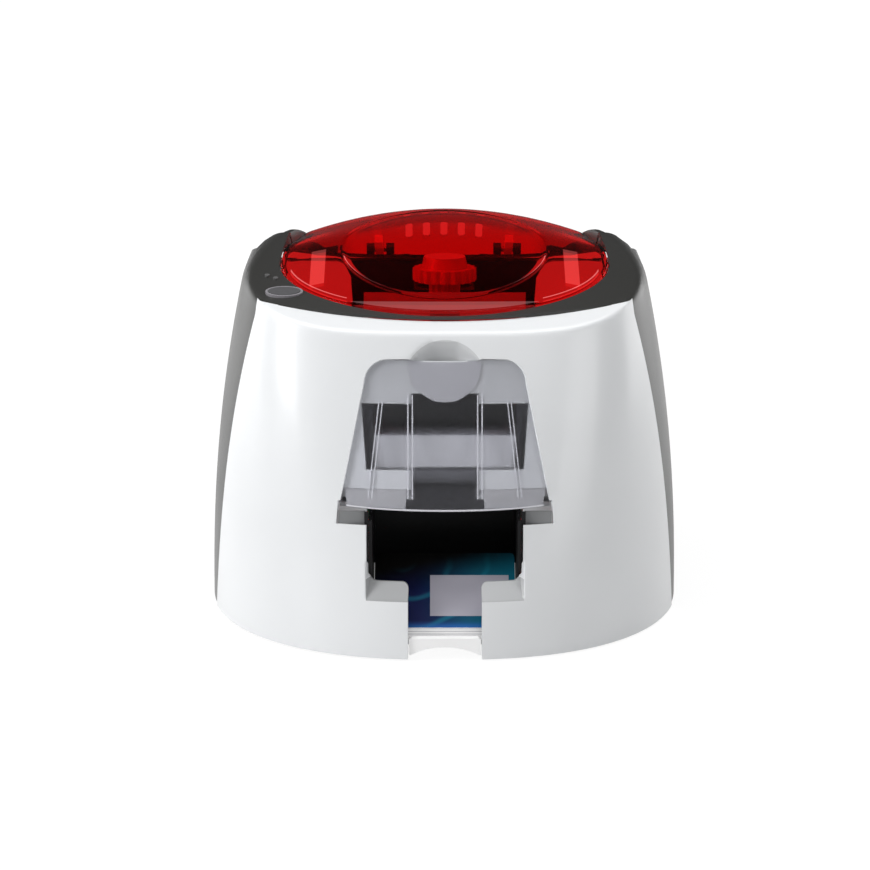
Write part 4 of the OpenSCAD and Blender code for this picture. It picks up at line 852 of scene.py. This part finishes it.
def bar(x0, z0, x1, z1, w):
    return [(x0 - w, z0), (x0 + w, z0), (x1 + w, z1), (x1 - w, z1), (x0 - w, z0 + 0.01)]


RIB_TOP, RIB_FOOT = SLOT_TOP + 5, FLAP_Z + 5
for side, tag in ((-1, "left"), (1, "right")):
    for k, shift in enumerate((-1.35, 1.35)):
        upright = bar(side * 21 + shift, RIB_FOOT, side * 21 + shift, RIB_TOP, 0.36)
        slanted = bar(side * 45.5 + shift * 0.8, RIB_FOOT, side * 38.8 + shift * 0.8, SLOT_TOP + 1, 0.3)
        on_flap(f"flap_rib_{tag}_{k}", upright, 1.2, rib_plastic)
        on_flap(f"flap_side_rib_{tag}_{k}", slanted, 1.0, rib_plastic)
for side, tag in ((-1, "left"), (1, "right")):
    low = [(side * x, z + 1.4) for x, z in bow if 23 < x < FLAP_W - 1]
    band = low + [(side * (FLAP_W - 2.4), FLAP_Z + 10.3), (side * 23.2, FLAP_Z + 10.3)]
    on_flap(f"flap_flange_{tag}", band, 0.8, flange_plastic, edge=0.3)
# painted highlight: a pale band along the flap's lower edge, where its polished edge catches light
lower = [(-x, z + 0.25) for x, z in bow[:0:-1]] + [(x, z + 0.25) for x, z in bow]
lower = [(x, z) for x, z in lower if abs(x) < FLAP_W - 0.4]
on_flap("flap_lower_edge_highlight", lower + [(x, z + 0.95) for x, z in reversed(lower)], FLAP_T + 0.1, rib_plastic,
        -0.02, 0.25)
FROST, DISH_HEAD = 0.985, FLAP_TOP - DIP - 0.8
half_disc = [(DISH_WIDE * FROST * x, DISH_MID + DISH_TALL * FROST * z) for x, z in arc(0, 0, 1, 180, 360, 26)]
half_disc = [(-DISH_WIDE * FROST, DISH_HEAD)] + half_disc + [(DISH_WIDE * FROST, DISH_HEAD)]
on_flap("flap_finger_dish", half_disc, 0.6, smoke_dense, FLAP_T - 0.1)
print("flap faces:", len(flap.data.polygons))

# %% [markdown]
# ## The clear lid
# The dome is a family of rings between the round panel at its middle and its outline, with a rolled
# edge and a skirt that dips into the opening of the collar. The vent slots are cut afterwards.

# %% Rings joined into a skin, and cutting
def skin(rings, name):
    """Joins rings of points, given in millimetres, by bridging circles edge to edge."""
    bm = bmesh.new()
    loops = []
    for ring_points in rings:
        verts = bmesh.ops.create_circle(bm, segments=len(ring_points), radius=1)["verts"]
        for vert, point in zip(verts, ring_points):
            vert.co = Vector(point) * MM
        loops.append({e for vert in verts for e in vert.link_edges})
    for first, second in zip(loops, loops[1:]):
        bmesh.ops.bridge_loops(bm, edges=list(first | second))
    for loop in (loops[0], loops[-1]):
        bmesh.ops.poke(bm, faces=bmesh.ops.holes_fill(bm, edges=list(loop), sides=0)["faces"])
    bmesh.ops.recalc_face_normals(bm, faces=bm.faces)
    return plain_object(bm, name)


def carve(made, cutter, operation="DIFFERENCE"):
    """Cuts one object by another and keeps the result as a plain mesh."""
    modifier = made.modifiers.new("cut", "BOOLEAN")
    modifier.object, modifier.operation, modifier.solver = cutter, operation, "EXACT"
    bpy.context.view_layer.update()
    result = bpy.data.meshes.new_from_object(made.evaluated_get(bpy.context.evaluated_depsgraph_get()))
    made.modifiers.clear()
    made.data = result
    bpy.data.objects.remove(cutter)
    return made


def add_box(bm, low, high, round_by=0.0, segments=3):
    """A box between two corners in millimetres, with rounded edges."""
    size = [(high[k] - low[k]) * MM for k in range(3)]
    middle = [(high[k] + low[k]) / 2 * MM for k in range(3)]
    placed = Matrix.Translation(middle) @ Matrix.Diagonal((*size, 1))
    verts = bmesh.ops.create_cube(bm, size=1, matrix=placed)["verts"]
    if round_by:
        edges = list({e for vert in verts for e in vert.link_edges})
        bmesh.ops.bevel(bm, geom=edges, offset=round_by * MM, segments=segments, affect="EDGES", profile=0.5,
                        material=-1)


def add_roller(bm, middle, radius, length):
    """A cylinder along X."""
    placed = Matrix.Translation(Vector(middle) * MM) @ Matrix.Rotation(math.pi / 2, 4, "Y")
    bmesh.ops.create_cone(bm, cap_ends=True, segments=48, radius1=radius * MM, radius2=radius * MM,
                          depth=length * MM, matrix=placed)


def boxes(name, corners, *rounding):
    """One object from boxes, each given by its lowest and highest corner."""
    bm = bmesh.new()
    for low, high in corners:
        add_box(bm, low, high, *rounding)
    return plain_object(bm, name)

# %% Dome of the lid
LID_W, LID_T, LID_EDGE, LID_END = 103.0, 2.4, COLLAR_Y + 3, 104.0
LID_FRONT = 75.0
LID_MID = LID_EDGE + LID_FRONT
LID_REAR = LID_END - LID_MID
DISH_Y, DISH_R, DISH_DEPTH = -58.0, 66.0, 2.2
ARM_END_Y = -9.0
DECK_Z = collar_at(ARM_END_Y) - 16
CREST_Y = 6.0
LID_SEGMENTS = 192


def deck_at(y):
    return DECK_Z - 0.2 * y


FRONT_FALL = (BODY_H - collar_at(LID_EDGE) - 1.3) / (CREST_Y - LID_EDGE) ** 2
REAR_FALL = (BODY_H - deck_at(LID_END) - 9.8) / (LID_END - CREST_Y) ** 2


def dome_at(x, y):
    k = min(max((y - COLLAR_Y - 95) / 50, 0), 1)
    arch = 0.00125 + 0.0007 * k * k * (3 - 2 * k)
    return BODY_H - (FRONT_FALL if y < CREST_Y else REAR_FALL) * (y - CREST_Y) ** 2 - arch * x * x


def lid_edge(a, grow):
    rear = math.sin(a) > 0
    power = 2 / (2.8 if rear else 2.0)
    return (LID_W + grow) * spow(math.cos(a), power) * (1 - 0.20 * max(math.sin(a), 0)), \
        LID_MID + ((LID_REAR if rear else LID_FRONT) + grow) * spow(math.sin(a), power)


def lid_ring(u, grow, lower):
    """A ring of the dome: u runs from the round panel (0) to the outline (1)."""
    points = []
    for k in range(LID_SEGMENTS):
        x, y = lid_edge(2 * math.pi * k / LID_SEGMENTS, grow)
        away = math.hypot(x, y - DISH_Y)
        share = u + (1 - u) * DISH_R / away
        x, y = x * share, DISH_Y + (y - DISH_Y) * share
        points.append((x, y, dome_at(x, y) - lower))
    return points


def dish_ring(f, d, thick=0.0):
    """A ring inside the round panel, which is pressed in less and less towards the rear."""
    points = []
    for x, y, _ in lid_ring(0, 0, 0):
        x, y = x * f, DISH_Y + (y - DISH_Y) * f
        press = DISH_DEPTH * (0.2 + 0.8 * min(max((DISH_Y + 30 - y) / 50, 0), 1))
        points.append((x, y, dome_at(x, y) - press * d - thick))
    return points


def skirt_ring(grow, lift=0.0):
    points = []
    for x, y, _ in lid_ring(1, grow, 0):
        low = dome_at(x, y) - 7
        k = min(max((y - ARM_END_Y) / 25 + 1, 0), 1)
        points.append((x, y, low - k * max(0, low - deck_at(y) + 1.5) + lift))
    return points


panel = [(0.02, 1), (0.3, 1), (0.6, 1), (0.8, 1), (0.92, 1), (0.94, 0.96), (0.955, 0.78), (0.97, 0.45),
         (0.98, 0.2), (0.99, 0.05)]
rings = [dish_ring(f, d) for f, d in panel]
rings += [lid_ring(u, 0, 0) for u in (0, 0.03, 0.12, 0.25, 0.4, 0.55, 0.7, 0.82, 0.92, 0.96)]
rings += [lid_ring(0.975, 0, 0.1), lid_ring(0.987, 0, 0.45), lid_ring(0.996, 0, 1.0), lid_ring(1, 0, 1.9),
          lid_ring(1, 0, 3.0), skirt_ring(0, 0.4), skirt_ring(-0.4), skirt_ring(0.4 - LID_T),
          skirt_ring(-LID_T, 0.4)]
rings += [lid_ring(1, -LID_T, 4.2), lid_ring(0.99, -LID_T, 3.0), lid_ring(0.96, -LID_T, LID_T)]
rings += [lid_ring(u, 0, LID_T) for u in (0.9, 0.8, 0.65, 0.5, 0.35, 0.2, 0.08, 0)]
rings += [dish_ring(f, d, LID_T) for f, d in reversed(panel)]
lid = skin(rings, "lid_fine")
VENT_STEP, VENT_HALF = 11.8, 2.35
vents = [((k - 2) * VENT_STEP - VENT_HALF, (k - 2) * VENT_STEP + VENT_HALF) for k in range(5)]
carve(lid, boxes("slots", [((x0, 68, 200), (x1, 96, 260)) for x0, x1 in vents], 2.0, 4))
dress(lid, red_clear, 40)
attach(lid, "lid")
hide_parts("lid")
print("lid faces:", len(lid.data.polygons))

# %% [markdown]
# ## The charcoal hood and rear cover
# Both are cut from one thin skin: the same form a little smaller, with its upper edge rolled over into
# the sloping collar. The cutters are simple prisms along X, the collar's round front edge and the
# outline of the lid.

# %% Skin of the hood
DRAW_FROM, DRAW_RUN, DRAW_IN = COLLAR_Z + 7, 28.0, 21.0


def drawn(z):
    """How far the shoulders draw in above the collar's front edge."""
    return DRAW_IN * (max(0.0, z - DRAW_FROM) / DRAW_RUN) ** 2.2


def tilted(a, z, lean, grow):
    """A point of a ring that leans back with the collar's slope."""
    first = z + lean * COLLAR_SLOPE * (form_at(a, z).y - COLLAR_Y)
    high = z + lean * COLLAR_SLOPE * (form_at(a, first).y - COLLAR_Y)
    return form_at(a, high, grow - drawn(high))


AROUND, LOW_Z, ROLL_H, ROLL_IN = 224, 1.5, 5.0, 4.5


def hood_rings(grow, low):
    levels = [(low + (0.61 * REF_Z - low) * k / 9, 0.0, 0.0) for k in range(10)]
    lean_from, lean_to = 0.61 * REF_Z, COLLAR_Z - ROLL_H
    for k in range(1, 13):
        f = k / 12
        levels.append((lean_from + (lean_to - lean_from) * f, f * f * (3 - 2 * f), 0.0))
    for k in range(1, 7):
        swing = math.pi / 2 * k / 6
        levels.append((lean_to + ROLL_H * math.sin(swing), 1.0, -ROLL_IN * (1 - math.cos(swing))))
    return [[tilted(2 * math.pi * k / AROUND, z, lean, grow + inset) for k in range(AROUND)]
            for z, lean, inset in levels]


def extruded(points, low, high, along=2):
    """A cutter between two heights along one axis, from its outline across that axis."""
    bm = bmesh.new()
    corners = [point[:along] + (low,) + point[along:] for point in points]
    face = bm.faces.new([bm.verts.new(Vector(corner) * MM) for corner in corners])
    moved = bmesh.ops.extrude_face_region(bm, geom=[face])["geom"]
    way = Vector()
    way[along] = (high - low) * MM
    bmesh.ops.translate(bm, verts=kept(moved, bmesh.types.BMVert), vec=way)
    bmesh.ops.recalc_face_normals(bm, faces=bm.faces)
    return plain_object(bm, "cutter")


ARM_NOSE, FAR, TALL = 9.0, 400.0, 300.0
NOSE_Y = ARM_END_Y - ARM_NOSE
NOSE_Z = collar_at(NOSE_Y) - ARM_NOSE / math.cos(math.radians(15))


def under_collar(drop):
    """All that lies under the collar and the deck, with the round nose between them."""
    turns = [math.radians(a) for a in range(90, -16, -7)]
    nose = [(NOSE_Y + ARM_NOSE * math.sin(a), NOSE_Z + ARM_NOSE * math.cos(a) - drop) for a in turns]
    below = [(-FAR, -20), (FAR, -20), (FAR, deck_at(FAR) - drop), (NOSE_Y + ARM_NOSE, deck_at(ARM_END_Y) - drop)]
    return extruded(below + nose + [(-FAR, collar_at(-FAR) - drop)], -FAR, FAR, 0)


def hood_skin(name, sunk=0.0, thick=WALL, low=LOW_Z):
    """A wall in the hood's form: how deep it lies, how thick it is, and where it starts."""
    outer, core = (carve(skin(hood_rings(-HOOD_STEP - depth, foot), name), under_collar(depth), "INTERSECT")
                   for depth, foot in ((sunk, low), (sunk + thick, -10.0)))
    return carve(outer, core)


def ellipse(x, y, wide, deep, count):
    turns = [2 * math.pi * k / count for k in range(count)]
    return [(x + wide * math.cos(a), y + deep * math.sin(a)) for a in turns]


def lid_hole():
    turns = [2 * math.pi * k / LID_SEGMENTS for k in range(LID_SEGMENTS)]
    return extruded([lid_edge(a, LID_GAP) for a in turns], 150, TALL)


# %% Hood
LID_GAP, REAR_SPLIT = 0.7, BODY_D / 2 - 98
BUTTON_X, BUTTON_Y, BUTTON_L, BUTTON_W, RING_WIDE = 4.2 - LID_W, COLLAR_Y + 34, 20.0, 11.5, 1.6
LIGHTS = [(-LID_W - 7.5, COLLAR_Y + 58), (-LID_W - 2, COLLAR_Y + 54)]
hood = hood_skin("hood_fine")
seam_points = [(seam_y(REF_Z * k / 30) + SEAM_GAP, REF_Z * k / 30) for k in range(31)]
seam_points[0] = (seam_points[0][0], -50)
in_front = extruded([(-FAR, -50)] + seam_points + [(SEAM_HEAD + SEAM_GAP, TALL), (-FAR, TALL)], -FAR, FAR, 0)
ZONE_R = ARC_R - SEAM_GAP
carve(in_front, extruded(ellipse(0, COLLAR_Y + ARC_R, ZONE_R, ZONE_R, 360),
                         BEVEL_Z - 33 * BEVEL_SLOPE - 3 + SEAM_GAP, TALL + 50))
carve(hood, in_front)
carve(hood, boxes("behind", [((-FAR, REAR_SPLIT, -50), (FAR, FAR, TALL))]))
carve(hood, lid_hole())
carve(hood, extruded(ellipse(BUTTON_X, BUTTON_Y, BUTTON_L / 2 + RING_WIDE,
                             (BUTTON_W / 2 + RING_WIDE) * math.cos(math.atan(COLLAR_SLOPE)), 72), 190, TALL))
for x, y in LIGHTS:
    carve(hood, extruded(ellipse(x, y, 1.7, 1.7, 24), 200, TALL))
print("hood faces:", len(hood.data.polygons))


# %% Rear cover, with vents and the mouth of the socket pocket
POCKET_X, POCKET_Z, POCKET_Y, REAR_Y = (6.0, 60.0), (10.0, 35.0), BODY_D / 2 - 14, BODY_D / 2 + 10
rear = hood_skin("rear_cover_fine")
carve(rear, boxes("ahead", [((-FAR, -FAR, -50), (FAR, REAR_SPLIT + SEAM_GAP, TALL))]))
carve(rear, lid_hole())
carve(rear, boxes("vents", [((x - 3, BODY_D / 2 - 40, 120), (x + 3, REAR_Y, 150))
                            for x in range(-40, 41, 10)], 2.0))
carve(rear, boxes("mouth", [((POCKET_X[0] - 1, BODY_D / 2 - 40, POCKET_Z[0] - 1),
                             (POCKET_X[1] + 1, REAR_Y, POCKET_Z[1] + 1))]))


def paint_light_inside(made):
    """Gives the inner faces beside the lid's opening the pale finish that glows: painted light, so that they
    show bright through the red lid.
    """
    made.data.materials.append(glowing_inner_plastic)
    for polygon in made.data.polygons:
        x, y, z = polygon.center / MM
        grow = -HOOD_STEP - WALL + 0.5 - drawn(z)
        middle, half = (front_y(z) + rear_y(z)) / 2, (rear_y(z) - front_y(z)) / 2 + grow
        power = squareness(z)
        inside = (abs(x) / (half_w(z) + grow)) ** power + (abs(y - middle) / half) ** power < 1
        under = (collar_at(y) if y < ARM_END_Y else deck_at(y)) - WALL + 0.4
        if inside and 163 < z < min(under, dome_at(x, min(y, 95)) - 4) and y > -120 and abs(x) > 66:
            polygon.material_index = 1


for cover, node in ((hood, "hood"), (rear, "rear_cover")):
    paint_light_inside(dress(cover, charcoal_plastic))
    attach(cover, "housing")
    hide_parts(node)
print("rear cover faces:", len(rear.data.polygons))

# %% Lip behind the joint of hood and rear cover
lip = hood_skin("joint_lip_fine", WALL + 0.05, 1.15, 4.0)
carve(lip, boxes("slice", [((-FAR, REAR_SPLIT - 3.5, 2.0), (FAR, REAR_SPLIT + 3.5, TALL))]), "INTERSECT")
carve(lip, lid_hole())
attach(dress(lip, charcoal_plastic), "housing")

# %% Connector pocket and hinge lugs of the rear cover
HINGE_Y, LUG_R, LUG_WIDE = BODY_D / 2 - 79, 4.4, 5.4
HINGE_Z = deck_at(HINGE_Y) + 4.6
liner = boxes("rear_pocket_fine", [((POCKET_X[0] - WALL, POCKET_Y - 2, POCKET_Z[0] - WALL),
                                    (POCKET_X[1] + WALL, REAR_Y, POCKET_Z[1] + WALL))])
carve(liner, boxes("hollow", [((POCKET_X[0], POCKET_Y + 0.6, POCKET_Z[0]),
                               (POCKET_X[1], REAR_Y + 10, POCKET_Z[1]))]))
carve(liner, skin(hood_rings(-HOOD_STEP - 0.05, LOW_Z), "form"), "INTERSECT")
for x in (20.0, 45.0):
    carve(liner, boxes("port", [((x - 6.4, POCKET_Y - 3, POCKET_Z[0] + 5.4),
                                 (x + 6.4, POCKET_Y + 2, POCKET_Z[0] + 17.2))]))
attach(dress(liner, charcoal_plastic), "housing")

lugs = bmesh.new()
for x in (34.0, 47.6, -39.4, -53.0):
    add_roller(lugs, (x + LUG_WIDE / 2, HINGE_Y, HINGE_Z), LUG_R, LUG_WIDE)
    add_box(lugs, (x + 0.02, HINGE_Y - LUG_R, deck_at(HINGE_Y) - 2), (x + 5.38, HINGE_Y + LUG_R, HINGE_Z))
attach(dress(plain_object(lugs, "hinge_lugs_fine"), charcoal_plastic), "housing")

# %% [markdown]
# ## The inside
# Rollers, gears and spools stay as the CAD nodes. Their shading is made smooth up to an angle, so that
# round faces look round and machined edges stay crisp.

# %% Smooth shading of the CAD nodes
for node in nodes.values():
    work = bmesh.new()
    work.from_mesh(node.data)
    sharp = [edge_.index for edge_ in work.edges
             if len(edge_.link_faces) != 2 or edge_.calc_face_angle(0) > math.radians(32)]
    work.free()
    for polygon in node.data.polygons:
        polygon.use_smooth = True
    for index in sharp:
        node.data.edges[index].use_edge_sharp = True
print("nodes shaded:", len(nodes))

# %% [markdown]
# ## Around the window
# Beside the window the shell steps back to a small shelf with a wall behind it, under the flap's hinge
# pins. Inside, dark panels beside and behind the stack of blank cards keep stray light out.

# %% Shelves and dark panels
def both_sides(low, high):
    return [(low, high), ((-high[0], low[1], low[2]), (-low[0], high[1], high[2]))]


PANELS = {
    "step_walls": (both_sides((48.0, -161.0, 79.0), (70.0, -160.0, 100.5)), step_plastic),
    "step_shelves": (both_sides((48.0, -167.0, 79.6), (68.5, -160.2, 81.6)), step_plastic),
    "step_faces": (both_sides((48.0, -171.5, 79.0), (64.4, -170.5, 89.5)), step_face_plastic),
    "cartridge_front_wall": ([((-50.0, -97.0, 170.0), (50.0, -96.0, 209.6))], dim_plastic),
    "feeder_side_panels": (both_sides((43.4, -157.0, 104.5), (51.5, -156.0, 155.0)), slot_plastic),
    "window_side_panels": (both_sides((46.1, -173.4, 50.0), (48.6, -172.4, 89.5)), black_plastic),
    "feeder_rear_panel": ([((-43.4, -121.5, 133.55), (43.4, -120.5, 166.0)),
                           ((-43.4, -155.5, 165.0), (43.4, -120.5, 166.0)),
                           ((-24.0, -157.0, 86.0), (24.0, -156.0, 113.6))], slot_plastic),
    # painted shade: a thin dark sheet laid on the top of the blank cards
    "stack_top_shade_sheet": ([((-42.4, -159.5, 133.55), (42.4, -121.5, 133.8))], stack_top_shade),
}
for name, (corners, look) in PANELS.items():
    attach(dress(boxes(name, corners), look), "housing")
roll = bmesh.new()
add_roller(roll, (0, -156.5, 107.4), 5.5, 40.8)
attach(dress(plain_object(roll, "feeder_throat_roll"), roll_plastic), "housing")
print("panels:", len(PANELS))


# %% Tails of the collar's ears, which run back beside the lid and sink into the deck
def tail_ring(a, side):
    x, y = lid_edge(a, 1.1)
    out_x, out_y = lid_edge(a, 1.1 + 2.0 + 5.5 * max(0.0, 1 - (y + 20) / 45))
    k = min(max((y + 9) / 60, 0), 1)
    low, top = deck_at(y) - 1.2, min(collar_at(y) - 2.2, 234.6 - 19.0 * k ** 2.2 - 0.03 * max(0.0, y))
    return [(side * (x + (out_x - x) * f), y + (out_y - y) * f, z)
            for f, z in ((0, low), (1, low), (1, top - 2.2), (0.86, top - 0.7), (0.6, top), (0.3, top),
                         (0.06, top - 0.4), (0, top - 1.0))]


for side, tag in ((-1, "right"), (1, "left")):
    tail = skin([tail_ring(math.radians(a), side) for a in range(176, 134, -2)], f"ear_tail_{tag}")
    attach(dress(tail, charcoal_plastic), "housing")

# %% [markdown]
# ## The printed cards
# The top card carries a generic design: a night-blue field that turns to teal at the right, a few broad
# soft curves, and one empty grey panel. The design is drawn in the card's own flat coordinates.

# %% Printed face of the top card
CARD_L, CARD_W, TRAY_TILT = 85.6, 54.0, math.radians(42)


def card_art():
    """Night blue to teal, with soft rings and one empty panel, drawn over a card-sized UV map; painted shade
    darkens the field to black towards the upper left.
    """
    look = Finish("printed card face", (0.01, 0.02, 0.08), 0.5)
    look.surface.inputs["Specular IOR Level"].default_value = 0.12
    flat_map = look.node("ShaderNodeUVMap", {"uv_map": "card"})
    across, up, _ = look.axes(flat_map)
    sweep = (across + up * 0.1).ramp(0.30, 1.0)
    field = look.mix(sweep, (0.001, 0.006, 0.07), (0.002, 0.13, 0.20))
    ring = ((across - 0.2) * (across - 0.2) * 2.4 + (up - 0.9) * (up - 0.9)) ** 0.5
    waved = ring * 5.0 + look.noise(3.0, 1.0, where=flat_map) * 0.8
    bands = look.node("ShaderNodeMath", {"operation": "PINGPONG"}, {0: waved, 1: 1.0})
    glow = bands.ramp(0.72, 0.98) * 0.35
    field = look.mix(glow, field, (0.01, 0.26, 0.38))
    low_edge = up.ramp(0.0, 0.10, 0.75, 0.0)
    field = look.mix(low_edge, field, (0.02, 0.12, 0.42))
    # painted shade: the card darkens to black towards its upper left, where the hopper shades it
    hopper_shade = (up - across * 0.40).ramp(0.24, 0.78)
    field = look.mix(hopper_shade, field, (0.0, 0.0, 0.0))
    inside = ((across > 0.395) * (across < 0.955) * (up > 0.155) * (up < 0.70))
    field = look.mix(inside, field, (0.42, 0.41, 0.47))
    look.feed("Base Color", field)
    look.feed("Roughness", sweep * 0.1 + 0.5)
    return look.material


card_bm = bmesh.new()
outline = []
for cx, cy, start in ((1, 0, -90), (1, 1, 0), (0, 1, 90), (0, 0, 180)):
    corner = (CARD_L * (cx - 0.5) + 3.18 * (1 - 2 * cx), CARD_W * cy + 3.18 * (1 - 2 * cy))
    outline += arc(corner[0], corner[1], 3.18, start, start + 90, 10)
face = card_bm.faces.new([card_bm.verts.new((x, y, 0)) for x, y in cleaned(outline, 0.01)])
bmesh.ops.inset_region(card_bm, faces=[face], thickness=0.12)
layer = card_bm.loops.layers.uv.new("card")
for part in card_bm.faces:
    for loop in part.loops:
        loop[layer].uv = (loop.vert.co.x / CARD_L + 0.5, loop.vert.co.y / CARD_W)
cards_low, cards_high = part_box("printed_cards")
turned = Matrix.Rotation(TRAY_TILT, 4, "X")
stack_t = (cards_high[2] - cards_low[2]) / MM - CARD_W * math.sin(TRAY_TILT)
lift = stack_t / math.cos(TRAY_TILT) + 0.03
foot_y = cards_low[1] / MM + lift * math.sin(TRAY_TILT)
bmesh.ops.transform(card_bm, verts=card_bm.verts, matrix=Matrix.Translation(
    (0, foot_y - lift * math.sin(TRAY_TILT), cards_low[2] / MM + lift * math.cos(TRAY_TILT))) @ turned)
bmesh.ops.scale(card_bm, verts=card_bm.verts, vec=(MM, MM, MM))
art = plain_object(card_bm, "printed_face")
art.data.materials.append(card_art())
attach(art, "housing")
print("card face at", [round(v, 4) for v in cards_low], "stack", round(stack_t, 2))
